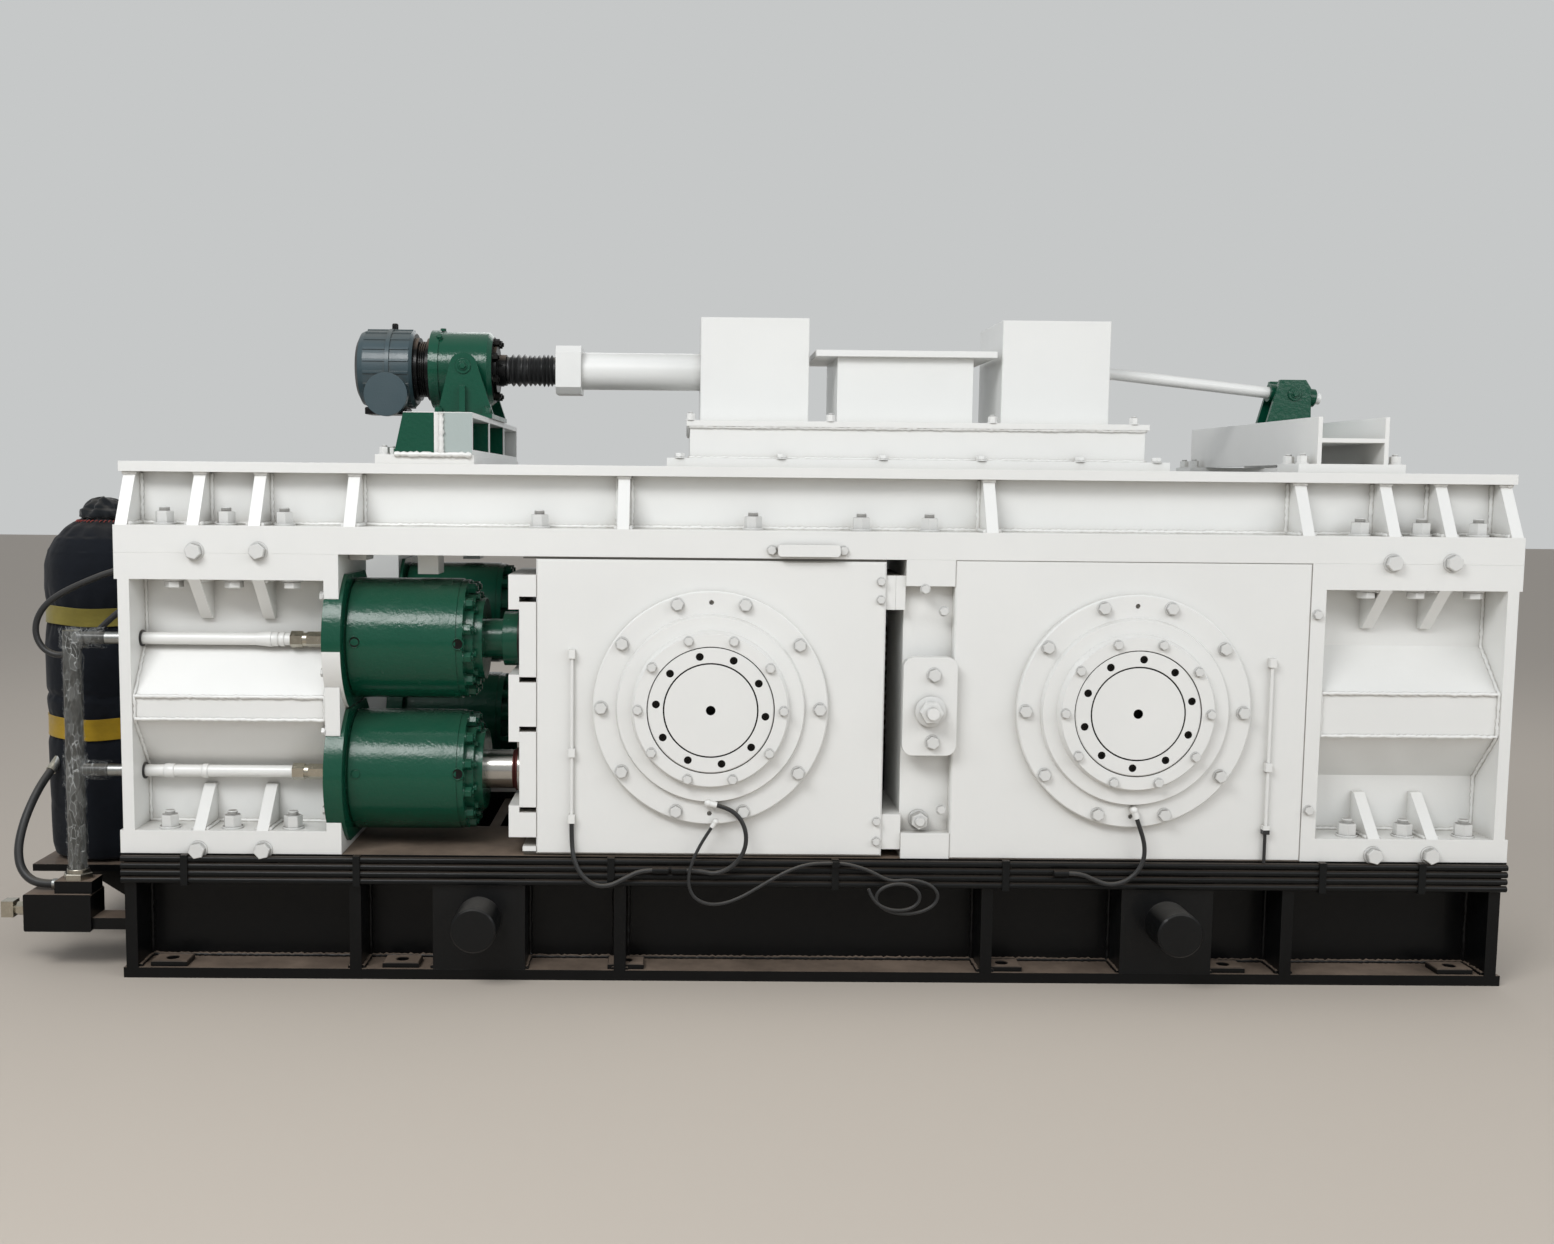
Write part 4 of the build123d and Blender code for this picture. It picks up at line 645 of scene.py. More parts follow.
@finish("forged steel with painted end")
def painted_shaft(tree, place):
    """Turned forged steel, its end disc painted white with the cover round it, its holes and the
    steel behind the disc face near black as painted shade
    """
    bare = machined_film(tree, place, paint("#8B8B88"), 0.34, (160, 2500, 160))
    # Near black behind the white disc face, in the centre hole and counterbores: painted shade
    hole_shade = machined_film(tree, place, paint("#242322"), 0.5, (300, 300, 300))
    return coats(tree, place, bare, (hole_shade, {"Y": (None, FRONT - 1)}),
                 (white_enamel.lay(tree, place), {"Y": (None, HUB_FACE + 3)}))


@finish("ground steel rods with painted feet")
def painted_rods(tree, place):
    """Ground piston rods, bright, the upper ones' feet green and the lower ones' collars rusty"""
    bright = machined_film(tree, place, paint("#B9B7B2"), 0.2, (2000, 60, 60))
    rusty = machined_film(tree, place, paint("#5A3230"), 0.55, (300, 300, 300))
    dark = machined_film(tree, place, paint("#3A3836"), 0.42, (200, 60, 60))
    return coats(tree, place, bright, (rusty, {"X": (-1054, -1036), "Z": (None, 921)}),
                 (dark, {"X": (-1034, -1012), "Z": (921, None)}),
                 (green_enamel.lay(tree, place), {"X": (-1300, -1034), "Z": (921, None)}))


@finish("galvanised pipe with painted stretch")
def painted_pipes(tree, place):
    """Galvanised hydraulic pipe: white inside the post, grey at the riser, its unions bare"""
    zinc = machined_film(tree, place, paint("#A8AAA8"), 0.36, (90, 90, 90))
    brass = machined_film(tree, place, paint("#B9B4A6"), 0.22, (60, 60, 60))
    riser = enamel_film(tree, place, paint("#2A2E2E"), rough=0.34, peel=12, depth=0.4, ledges=0.3,
                        grime_and_shade=0.1)
    return coats(tree, place, zinc, (brass, {"X": (-1801, None)}, {"X": (None, -2705)}),
                 (riser, {"X": (-2600, -2431), "Z": (300, 1190)}),
                 (white_enamel.lay(tree, place), {"X": (-2320, -1801)}))


@finish("white enamel with green bays")
def painted_stand(tree, place):
    """Welded stand, white borders with green left inside the windows and at the front's left"""
    grey = enamel_film(tree, place, paint("#A9B5B3"), rough=0.4, peel=14, depth=0.4, ledges=0.3,
                       grime_and_shade=0.4)
    return coats(tree, place, white_enamel.lay(tree, place),
                 (grey, {"X": (-1281, -1176), "Y": (-677, -674), "Z": (1788, 1926)}),
                 (green_enamel.lay(tree, place), {"X": (-1450, -1305), "Z": (1788, 1926)},
                  {"X": (None, -1181), "Y": (-656, 656), "Z": (1804, 1909)}))


@finish("cast iron with carbide studs")
def roll_surface(tree, place):
    """Hard-faced roll: dark cast iron set with round carbide studs 18 mm wide and 32 mm apart"""
    where = place.outputs["Object"]
    cells = add(tree, "TexVoronoi", {"Vector": where, "Scale": grain(32), "Randomness": 0.25})
    stud = add(tree, "MapRange", {
        "Value": cells.outputs["Distance"], "From Min": 0.26, "From Max": 0.3, "To Min": 1.0,
        "To Max": 0.0})
    wear = add(tree, "TexNoise", {"Vector": where, "Scale": grain(25), "Detail": 6.0})
    iron = add(tree, "Mix", {
        0: wear, 6: shade(paint("#37332E")), 7: shade(paint("#6B625A"))},
        data_type="RGBA")
    tone = add(tree, "Mix", {
        0: stud, 6: iron.outputs[2], 7: shade(paint("#8C8B88"))}, data_type="RGBA")
    height = add(tree, "Math", {0: stud, 1: wear}, operation="ADD")
    bump = add(tree, "Bump", {"Height": height, "Strength": 0.7, "Distance": 1.5 * MM})
    return add(tree, "BsdfPrincipled", {
        "Base Color": tone.outputs[2], "Metallic": 0.85, "Roughness": 0.48,
        "Normal": bump})


@finish("ground slide steel")
def slide_steel(tree, place):
    """Hardened slide liner, ground and lightly oiled: dark bright steel"""
    return machined_film(tree, place, paint("#7D7B76"), 0.28, (30, 900, 900))


@finish("nickel-plated fitting")
def bare_fitting(tree, place):
    """Nickel-plated pipe fitting: pale metal with soft tool marks"""
    return machined_film(tree, place, paint("#A9A59A"), 0.3, (200, 200, 200))


@finish("black-oxide steel and painted port shade")
def socket_steel_and_port_shade(tree, place):
    """Black-oxide steel of the socket screws: almost black, with an oily gloss; also the dark of
    the oil-port discs, which is painted shade
    """
    return machined_film(tree, place, paint("#2B2A29"), 0.4, (400, 400, 400))


@finish("extruded hose rubber")
def hose_rubber(tree, place):
    """Extruded hose cover: smooth grey-black rubber with a faint cloth print"""
    return rubber_film(tree, place, colours().rubber, 0.46, 3, 0.25)


@finish("moulded bellows rubber")
def bellows_rubber(tree, place):
    """Moulded bellows: softer, shinier black rubber with dust in its folds"""
    return rubber_film(tree, place, shade(colours().rubber, 0.75)[:3], 0.36, 7, 0.5)


@finish("quilted navy nylon")
def cover_cloth(tree, place):
    """Woven nylon over padding, navy: soft sheen, a 5 mm weave drawn coarser than the real one so
    that it shows, faded on the crests and dusty on the shoulders"""
    return cloth_film(tree, place, colours().cloth, 5.0, 0.08, 0.12)


@finish("yellow webbing")
def band_webbing(tree, place):
    """Woven yellow webbing: dull, slightly soiled"""
    return cloth_film(tree, place, colours().band, 3.5, 0.25, 0.15)


@finish("weathered webbing")
def old_webbing(tree, place):
    """Woven webbing, weathered from yellow to olive"""
    return cloth_film(tree, place, paint("#7E7436"), 3.5, 0.25, 0.15)


@finish("black tie cloth")
def tie_cloth(tree, place):
    """Thin black cloth bunched at the tie"""
    return cloth_film(tree, place, paint("#15191D"), 4.0, 0.35, 0.2)


@finish("red stitching thread")
def stitch_thread(tree, place):
    """Thick polyester thread, red, slightly fuzzy"""
    return cloth_film(tree, place, paint("#8E3B36"), 1.5, 0.3, 0.1)


@finish("crumpled clear film")
def clear_film(tree, place):
    """Thin polyethylene film, crumpled into facets 14 mm wide and 42 mm tall: mostly clear,
    its creases opaque white lines, partly the film's own whitening and partly painted highlight"""
    where = place.outputs["Object"]
    bent = add(tree, "TexNoise", {"Vector": where, "Scale": grain(60), "Detail": 2.0})
    moved = add(tree, "Mix", {0: 0.04, 4: where, 5: bent.outputs["Color"]}, data_type="VECTOR")
    tall = add(tree, "Mapping", {"Vector": moved.outputs[1], "Scale": (1.0, 1.0, 0.33)})
    facets = add(tree, "TexVoronoi", {"Vector": tall, "Scale": grain(14)})
    edges = add(tree, "TexVoronoi", {"Vector": tall, "Scale": grain(14)},
                feature="DISTANCE_TO_EDGE")
    tint = add(tree, "SeparateXYZ", {0: facets.outputs["Color"]})
    milky = add(tree, "MapRange", {"Value": tint, "From Min": 0.6, "To Min": 0.01, "To Max": 0.1})
    # The creases are opaque white lines: partly the film's own whitening, partly painted highlight
    crease = add(tree, "MapRange", {"Value": edges, "From Max": 0.05, "To Min": 0.6, "To Max": 0.0})
    broken_crease_highlight = add(tree, "Math", {0: crease, 1: tint.outputs[1]}, operation="MULTIPLY")
    cover = add(tree, "Math", {0: broken_crease_highlight, 1: milky}, operation="MAXIMUM")
    bump = add(tree, "Bump", {
        "Height": facets.outputs["Distance"], "Strength": 0.8, "Distance": 4 * MM})
    return add(tree, "BsdfPrincipled", {
        "Base Color": shade(paint("#E4E8E7")), "Roughness": 0.12, "Normal": bump,
        "IOR": 1.51, "Alpha": cover})


# Cords: control points in metres, the same as the source's routes

LOOP_HOSE_ROUTE = [
    (-2.401, -0.576, 1.3835), (-2.446, -0.575, 1.371), (-2.500, -0.573, 1.350),
    (-2.558, -0.571, 1.325), (-2.616, -0.570, 1.296), (-2.668, -0.570, 1.258),
    (-2.700, -0.570, 1.204), (-2.702, -0.571, 1.146), (-2.670, -0.574, 1.098),
    (-2.616, -0.577, 1.081), (-2.560, -0.579, 1.101), (-2.510, -0.579, 1.143),
    (-2.464, -0.578, 1.190), (-2.424, -0.577, 1.227), (-2.387, -0.5755, 1.254)]
RETURN_HOSE_ROUTE = [
    (-2.636, -0.644, 0.296), (-2.684, -0.644, 0.296), (-2.728, -0.638, 0.317),
    (-2.757, -0.626, 0.355), (-2.768, -0.610, 0.405), (-2.767, -0.590, 0.455),
    (-2.761, -0.566, 0.503), (-2.753, -0.537, 0.546), (-2.744, -0.505, 0.585),
    (-2.733, -0.472, 0.621), (-2.719, -0.441, 0.652)]
GREASE_HOSE_ROUTE = [
    (-0.834, -0.764, 0.550), (-0.834, -0.764, 0.486), (-0.825, -0.785, 0.428),
    (-0.799, -0.794, 0.378), (-0.756, -0.797, 0.344), (-0.705, -0.796, 0.342),
    (-0.655, -0.789, 0.366), (-0.600, -0.783, 0.3935), (-0.560, -0.783, 0.3935)]
COVER_HOSE_ROUTE = [
    (-0.3449, -0.799, 0.6227), (-0.305, -0.799, 0.6127), (-0.268, -0.803, 0.584),
    (-0.247, -0.807, 0.542), (-0.244, -0.807, 0.492), (-0.262, -0.803, 0.443),
    (-0.300, -0.796, 0.404), (-0.350, -0.789, 0.384), (-0.398, -0.783, 0.3935),
    (-0.445, -0.783, 0.3935)]
FIXED_HOSE_ROUTE = [
    (1.0706, -0.799, 0.5876), (1.085, -0.799, 0.549), (1.100, -0.802, 0.500),
    (1.099, -0.805, 0.448), (1.077, -0.804, 0.403), (1.036, -0.799, 0.368),
    (0.984, -0.793, 0.357), (0.940, -0.787, 0.372), (0.893, -0.783, 0.3935),
    (0.850, -0.783, 0.3935)]
CABLE_ROUTE = [
    (-0.3613, -0.796, 0.5458), (-0.3861, -0.796, 0.5081), (-0.413, -0.802, 0.460),
    (-0.433, -0.808, 0.408), (-0.439, -0.812, 0.354), (-0.419, -0.814, 0.308),
    (-0.372, -0.812, 0.285), (-0.316, -0.808, 0.288), (-0.262, -0.804, 0.308),
    (-0.209, -0.801, 0.338), (-0.155, -0.799, 0.371), (-0.097, -0.797, 0.402),
    (-0.036, -0.793, 0.422), (0.030, -0.789, 0.425), (0.090, -0.789, 0.424),
    (0.146, -0.794, 0.411), (0.192, -0.797, 0.393), (0.226, -0.797, 0.3737)]
# The cable's spare length: two and a half loose turns that hang in front of the base
COIL_TURNS = [
    (0.258, -0.797, 0.366), (0.295, -0.795, 0.371), (0.345, -0.793, 0.367),
    (0.388, -0.792, 0.350), (0.411, -0.791, 0.319), (0.398, -0.791, 0.285),
    (0.362, -0.792, 0.263), (0.315, -0.793, 0.252), (0.266, -0.794, 0.254),
    (0.222, -0.796, 0.270), (0.196, -0.799, 0.298), (0.200, -0.803, 0.331),
    (0.231, -0.806, 0.353), (0.276, -0.807, 0.362), (0.318, -0.807, 0.352),
    (0.344, -0.806, 0.328), (0.343, -0.805, 0.298), (0.318, -0.804, 0.275),
    (0.279, -0.803, 0.266), (0.238, -0.802, 0.270), (0.204, -0.801, 0.286),
    (0.182, -0.800, 0.312), (0.171, -0.798, 0.340)]


def route_curve(name, points, diameter):
    """Smooth NURBS curve with the route's points as its control points."""
    line = bpy.data.curves.new(name, "CURVE")
    line.dimensions = "3D"
    line.resolution_u = 14
    spline = line.splines.new("NURBS")
    spline.points.add(len(points) - 1)
    for held, p in zip(spline.points, points):
        held.co = (*p, 1.0)
    spline.order_u = 3
    spline.use_endpoint_u = True
    line.bevel_depth = diameter / 2
    line.bevel_resolution = 4
    line.use_fill_caps = True
    made = bpy.data.objects.new(name, line)
    bpy.context.scene.collection.objects.link(made)
    return made


def centre_line(points):
    """Points read from the route's own NURBS spline."""
    probe = route_curve("probe", points, 0.0)
    probe.data.bevel_depth = 0.0
    probe.data.use_fill_caps = False
    bpy.context.view_layer.update()
    mesh = bpy.data.meshes.new_from_object(probe)
    line = [v.co.copy() for v in mesh.vertices]
    bpy.data.meshes.remove(mesh)
    bpy.data.objects.remove(probe)
    return line


def line_length(line):
    """Length of a line of points."""
    return sum((b - a).length for a, b in zip(line, line[1:]))


def bending_hose(name, points, diameter, material, nodes):
    """Hose drawn once as a tube along its route, on no body, in place of its CAD parts."""
    line = centre_line(points)
    piece = Build(name)
    piece.tube(line, diameter / 2, 14)
    made = piece.finish(material, None, "hose_rubber")
    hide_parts(*nodes)
    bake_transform(made)
    return made


class CRUSHER_OT_camera(bpy.types.Operator):
    """Camera at the reference view: in front of the rolls, a little above them"""
    bl_idname = "crusher.camera"
    bl_label = "Camera"

    def execute(self, context):
        data = bpy.data.cameras.new("view camera")
        data.lens, data.sensor_width = context.scene.crusher_view.lens, 36.0
        data.shift_x = CAMERA_SHIFT
        data.clip_start, data.clip_end = 0.05, 80.0
        camera = bpy.data.objects.new("view camera", data)
        context.scene.collection.objects.link(camera)
        level = Vector((math.cos(CAMERA_YAW), -math.sin(CAMERA_YAW), 0.0))
        ahead = Vector((math.sin(CAMERA_YAW) * math.cos(CAMERA_PITCH),
                        math.cos(CAMERA_YAW) * math.cos(CAMERA_PITCH), -math.sin(CAMERA_PITCH)))
        down = ahead.cross(level)
        right = level * math.cos(CAMERA_ROLL) + down * math.sin(CAMERA_ROLL)
        down = down * math.cos(CAMERA_ROLL) - level * math.sin(CAMERA_ROLL)
        turn = Matrix((right, -down, -ahead)).transposed()
        camera.matrix_world = Matrix.Translation(mm(*CAMERA_PLACE)) @ turn.to_4x4()
        context.scene.camera = camera
        return {"FINISHED"}


class CRUSHER_OT_cords(bpy.types.Operator):
    """Grease hoses and the sensor cable with its loose coil"""
    bl_idname = "crusher.cords"
    bl_label = "Hoses and cable"

    def execute(self, context):
        sizes = context.scene.crusher_sizes
        rubber = hose_rubber()
        for name, route, diameter, nodes, start, end in (
                ("grease_hose", GREASE_HOSE_ROUTE, sizes.hose, ["floating_grease_hose"],
                 GREASE_HOSE_ROUTE[1], GREASE_HOSE_ROUTE[-1]),
                ("cover_hose", COVER_HOSE_ROUTE, sizes.hose, ["floating_cover_hose"],
                 (-0.262, -0.8, 0.62), (-0.262, -0.8, 0.40)),
                ("sensor_lead", CABLE_ROUTE + COIL_TURNS, sizes.cable,
                 ["sensor_cable", "sensor_coil"], (-0.42, -0.8, 0.3), (0.03, -0.8, 0.42))):
            bending_hose(name, route, diameter, rubber, nodes)
        for name, route, diameter, node in (
                ("fixed_hose", FIXED_HOSE_ROUTE, sizes.hose, "fixed_cover_hose"),
                ("post_loop_hose", LOOP_HOSE_ROUTE, 22 * MM, "loop_hose"),
                ("bottle_return_hose", RETURN_HOSE_ROUTE, 30 * MM, "return_hose")):
            fixed = route_curve(name, route, diameter)
            fixed.data.materials.append(rubber)
            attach(fixed, "frame")
            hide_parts(node)
            line_length(centre_line(route))
        return {"FINISHED"}


# The CAD parts that keep their own shape, by finish
PAINTED = {
    white_enamel: "adjusting_rod centre_stops clamp_plates cross_beam end_walls feed_chute"
                  " feed_subframe fixed_bearing_covers fixed_housings floating_bearing_covers"
                  " floating_housings floating_spacers gate_boxes left_end_posts push_tube"
                  " right_end_posts thrust_plate_hooks thrust_plates top_beams",
    grease_pipe_enamel: "floating_grease_lines fixed_grease_lines",
    green_enamel: "actuator_bracket adjuster_bracket",
    painted_cylinders: "cylinders",
    trunnion_enamel: "lifting_trunnions",
    gearbox_enamel: "actuator_gearbox",
    black_enamel: "accumulator_shelf base_cross_members base_girders manifold_blocks",
    motor_enamel: "actuator_motor",
    painted_stand: "actuator_stand",
    painted_rods: "cylinder_rods",
    painted_shaft: "fixed_roll_shaft floating_roll_shaft",
    roll_surface: "fixed_roll_tyre floating_roll_tyre",
    painted_pipes: "hydraulic_lines",
    pipe_black: "pipe_bundle",
    slide_steel: "slide_liners",
}


class CRUSHER_OT_paint(bpy.types.Operator):
    """Finishes of the CAD parts that keep their own shape"""
    bl_idname = "crusher.paint"
    bl_label = "Paint the frame"

    def execute(self, context):
        for coat, nodes in PAINTED.items():
            for name in nodes.split():
                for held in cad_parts[name].material_slots:
                    held.link = "OBJECT"
                    held.material = coat()
        return {"FINISHED"}


class CRUSHER_OT_frame_bolts(bpy.types.Operator):
    """Studs, nuts and bolts of the posts, beams and base"""
    bl_idname = "crusher.frame_bolts"
    bl_label = "Frame bolts"

    def execute(self, context):
        stud = context.scene.crusher_sizes.stud

        def row(y, z, direction, *places):
            return [((x, y, z), direction) for x in places]

        def front(y, *places):
            return [((x, y, z), FRONTWARD) for x, z in places]

        bolts("post_and_beam_nuts",
              row(-702, FOOT_TOP, UPWARD, -2207, -1994, -1788, 1826, 2019, 2228)
              + row(-684, SOLE_TOP, UPWARD, -2209, -2002, -1807, -950, -230, 136, 366, 1828, 2037,
                    2232), stud, 2, nut_on_stud)
        bolts("post_head_nuts",
              row(-705, HEAD_LOW, DOWNWARD, -2175, -1974, -1780, 1850, 2019, 2215), stud, 3)
        bolts("front_dowel_bolts",
              front(FRONT, (-2090, 1457), (-1879, 1459), (1916, 1454), (2117, 1456), (-2098, 446),
                    (-1878, 447), (1898, 456), (2093, 457)), 32 * MM, 4)
        bolts("front_small_bolts",
              front(FRONT, (1670, 1278), (1670, 611), (347, 1352), (411, 1279), (417, 604),
                    (-169, 1478), (71, 1478))
              + [((-1664, -735, z), LEFTWARD) for z in (1310, 1052, 852, 583)], 18 * MM, 5)
        bolts("clamp_plate_bolts", front(FRONT - 40, (377, 1068), (376, 841)), 26 * MM, 11)
        self.stop_threads()
        bolts("stop_nuts", front(FRONT + 48, (348, 560)), 34 * MM, 12, nut_on_stud)
        bolts("base_top_bolts", row(-680, 405, DOWNWARD, -2100, -1873, 1875, 2075), 36 * MM, 6,
              coat=black_enamel, slot="black_enamel")
        return {"FINISHED"}

    def stop_threads(self):
        """Threads and washers of the studs that stand through the clamp plates."""
        thread = Build("stop_stud_threads")
        root, crest, pitch = 0.0203, 0.0213, 0.0035
        grooves = [(0.0195, -0.024)]
        for i in range(6):
            grooves += [(crest, -0.022 + i * pitch), (root, -0.02025 + i * pitch)]
        grooves += [(0.0195, -0.0002), (0.0195, -0.024)]
        for side in (-1, 1):
            thread.turned(grooves, facing((STOP_X, side * (120 - FRONT), ROLL_Z), (0, side, 0)), 28)
            thread.turned([(0.052, 0.0), (0.052, 0.006), (0.046, 0.008), (0.0215, 0.008)],
                          facing((STOP_X, side * STOP_FACE, ROLL_Z), (0, side, 0)), 36)
        thread.finish(nut_enamel(), "frame", "white_enamel")


class CRUSHER_OT_cover_bolts(bpy.types.Operator):
    """Bolts and socket screws of the bearing covers, and the bolts of the spacers beside them"""
    bl_idname = "crusher.cover_bolts"
    bl_label = "Cover bolts"

    def execute(self, context):
        sizes = context.scene.crusher_sizes
        for word, body, turning, first in (("floating", "carriage", "floating_roll", 102.0),
                                           ("fixed", "frame", "fixed_roll", 86.0)):
            x = ROLLS[word]
            clockwise = [math.radians(first) - angle for angle in around(10)]
            bolts(f"{word}_ring_bolts",
                  bolt_circle((x, RING_FACE, ROLL_Z), RING_CIRCLE, around(10), FRONTWARD),
                  sizes.ring_bolt, 7, body=body)
            bolts(f"{word}_hub_bolts",
                  bolt_circle((x, HUB_FACE, ROLL_Z), HUB_CIRCLE, around(10), FRONTWARD),
                  sizes.small_bolt, 8, body=body)
            bolts(f"{word}_disc_screws",
                  bolt_circle((x, HUB_FACE + 12, ROLL_Z), DISC_CIRCLE, clockwise, FRONTWARD),
                  16 * MM, 9, socket_screw, socket_steel_and_port_shade, "forged_steel", turning, both=False)
        bolts("spacer_bolts", [((199, FRONT, z), FRONTWARD) for z in (1376, 1315, 561, 492)],
              16 * MM, 13, body="carriage")
        return {"FINISHED"}


class CRUSHER_OT_welds(bpy.types.Operator):
    """Fillet welds of the beams, posts, base, sub-frame and stand"""
    bl_idname = "crusher.welds"
    bl_label = "Welds"

    def execute(self, context):
        width = context.scene.crusher_sizes.weld
        web, gap, low, high = WEB - 3, 23, SOLE_TOP + 3, BEAM_TOP - 38
        beams = []
        for left, right in zip(BEAM_RIBS, BEAM_RIBS[1:]):
            left, right = left + gap, right - gap
            beams.append([(left, web, low), (right, web, low)])
            for x in (left, right):
                beams += [[(x, web, low), (x, web, high)], [(x, FRONT + 10, low), (x, web, low)]]
        beams += [[(x - gap, FRONT + 93, high + 1), (x + gap, FRONT + 93, high + 1)]
                  for x in BEAM_RIBS]
        seams("beam_welds", beams, width, 21)
        posts = []
        foot, head = FOOT_TOP + 3, HEAD_LOW - 3
        for left, right, low, high, gussets in ((-2307, -1667, 890, 967, (-2094, -1881)),
                                                (1701, 2307, 865, 1011, (1900, 2100))):
            edge = [(web + 10, foot), (web + 10, 705), (FRONT + 12, low), (FRONT + 12, high),
                    (web + 10, 1161), (web + 10, head)]
            posts += [[(x, y, z) for y, z in edge] for x in (left, right)]
            posts += [[(left, *edge[i]), (right, *edge[i])] for i in (0, 2, 3, 5)]
            for x in (gussets[0] - gap, gussets[0] + gap, gussets[1] - gap, gussets[1] + gap):
                posts += [[(x, FRONT + 10, z), (x, web + 10, z)] for z in (foot, head)]
        seams("post_welds", posts, width * 0.8, 22)
        base = []
        for left, right in BASE_BAYS:
            left, right = left + 3, right - 3
            base.append([(left, web, 39), (right, web, 39)])
            base += [[(x, FRONT + 8, 39), (x, web, 39), (x, web, 400)] for x in (left, right)]
        seams("base_welds", base, width, 23, black_enamel, "black_enamel")
        feed = [self.rectangle(FEED_X, SUBFRAME_HALF_LENGTH, SUBFRAME_HALF_DEPTH, z)
                for z in (SUBFRAME_LOW + 2, SUBFRAME_TOP - 22)]
        feed += [self.rectangle(FEED_X + side * 552, 201, 217, SUBFRAME_TOP + 2)
                 for side in (-1, 1)]
        seams("feed_welds", feed, width * 0.7, 24, both=False)
        stand = [[(-1281, -678, 1788), (-1281, -678, 1926)],
                 [(-1438, -678, 1786), (-1179, -678, 1786)]]
        seams("stand_welds", stand, width * 1.1, 25)
        return {"FINISHED"}

    @staticmethod
    def rectangle(x, half_length, half_depth, z):
        """Closed run round a rectangle, from its left front corner."""
        return [(x + right * half_length, back * half_depth, z)
                for right, back in ((-1, -1), (1, -1), (1, 1), (-1, 1), (-1, -1))]


def holed_plate(piece, middle, half_x, half_y, thick, hole):
    """Rectangular plate with a round hole, its upper edge bevelled, standing at middle in mm."""
    corner = math.atan2(half_y, half_x)
    angles = sorted(around(32) + [corner, math.pi - corner, math.pi + corner, 2 * math.pi - corner])

    def edge(angle, inset):
        return min((half_x - inset) / max(abs(math.cos(angle)), 1e-6),
                   (half_y - inset) / max(abs(math.sin(angle)), 1e-6))

    loops = [[(edge(angle, inset), height) for angle in angles]
             for inset, height in ((0, 0), (0, thick - 3), (3, thick))]
    loops += [[(radius, height)] * len(angles)
              for radius, height in ((hole + 2, thick), (hole, thick - 2), (hole, 0))]
    rings = [[mm(radius * math.cos(angle), radius * math.sin(angle), height)
              for (radius, height), angle in zip(loop, angles)] for loop in loops]
    piece.skin(rings, Matrix.Translation(mm(*middle)), looped=True)


class CRUSHER_OT_base_fittings(bpy.types.Operator):
    """Anchor plates on the bottom flange"""
    bl_idname = "crusher.base_fittings"
    bl_label = "Anchor plates"

    def execute(self, context):
        plates = Build("anchor_plates")
        for x in (-2210, -1420, -650, 650, 1420, 2210):
            for y in (-695, 695):
                holed_plate(plates, (x, y, 36), 62, 42, 19, 21)
        plates.finish(black_enamel(), "frame", "black_enamel")
        return {"FINISHED"}


class CRUSHER_OT_cylinder_fittings(bpy.types.Operator):
    """Gland nuts and port holes of the press cylinders"""
    bl_idname = "crusher.cylinder_fittings"
    bl_label = "Cylinder fittings"

    def execute(self, context):
        glands = around(12, math.pi / 12)
        outer, inner = [], []
        for height in CYLINDER_ROWS:
            outer += bolt_circle((-1206, CYLINDER_Y, height), 184, glands, RIGHTWARD)
            inner += bolt_circle((-1176, CYLINDER_Y, height), 153, glands, RIGHTWARD)
        plug, *holes = (self.on_shell(x, z, row) for x, z, row in (
            (-1566, 707, 0), (-1222, 709, 0), (-1566, 1156, 1), (-1220, 1152, 1)))
        green = {"coat": green_enamel, "slot": "green_enamel"}
        bolts("gland_nuts", outer, 22 * MM, 31, nut_on_stud, **green)
        bolts("gland_screws", inner, 14 * MM, 32, **green)
        # The ports are dark discs of painted shade in place of open holes
        bolts("cylinder_port_shades", holes, 36 * MM, 33, port_shade_disc, socket_steel_and_port_shade, "green_enamel")
        bolts("cylinder_port_rims", holes, 36 * MM, 34, port_rim, **green)
        bolts("cylinder_plugs", [plug], 30 * MM, 35, port_plug, **green)
        return {"FINISHED"}

    @staticmethod
    def on_shell(x, z, row):
        """Place of a port on the curved shell of a front cylinder."""
        rise = z - CYLINDER_ROWS[row]
        deep = CYLINDER_Y - math.sqrt(CYLINDER_RADIUS ** 2 - rise ** 2)
        return (x, deep + 1, z), (0, -1, rise / CYLINDER_RADIUS)


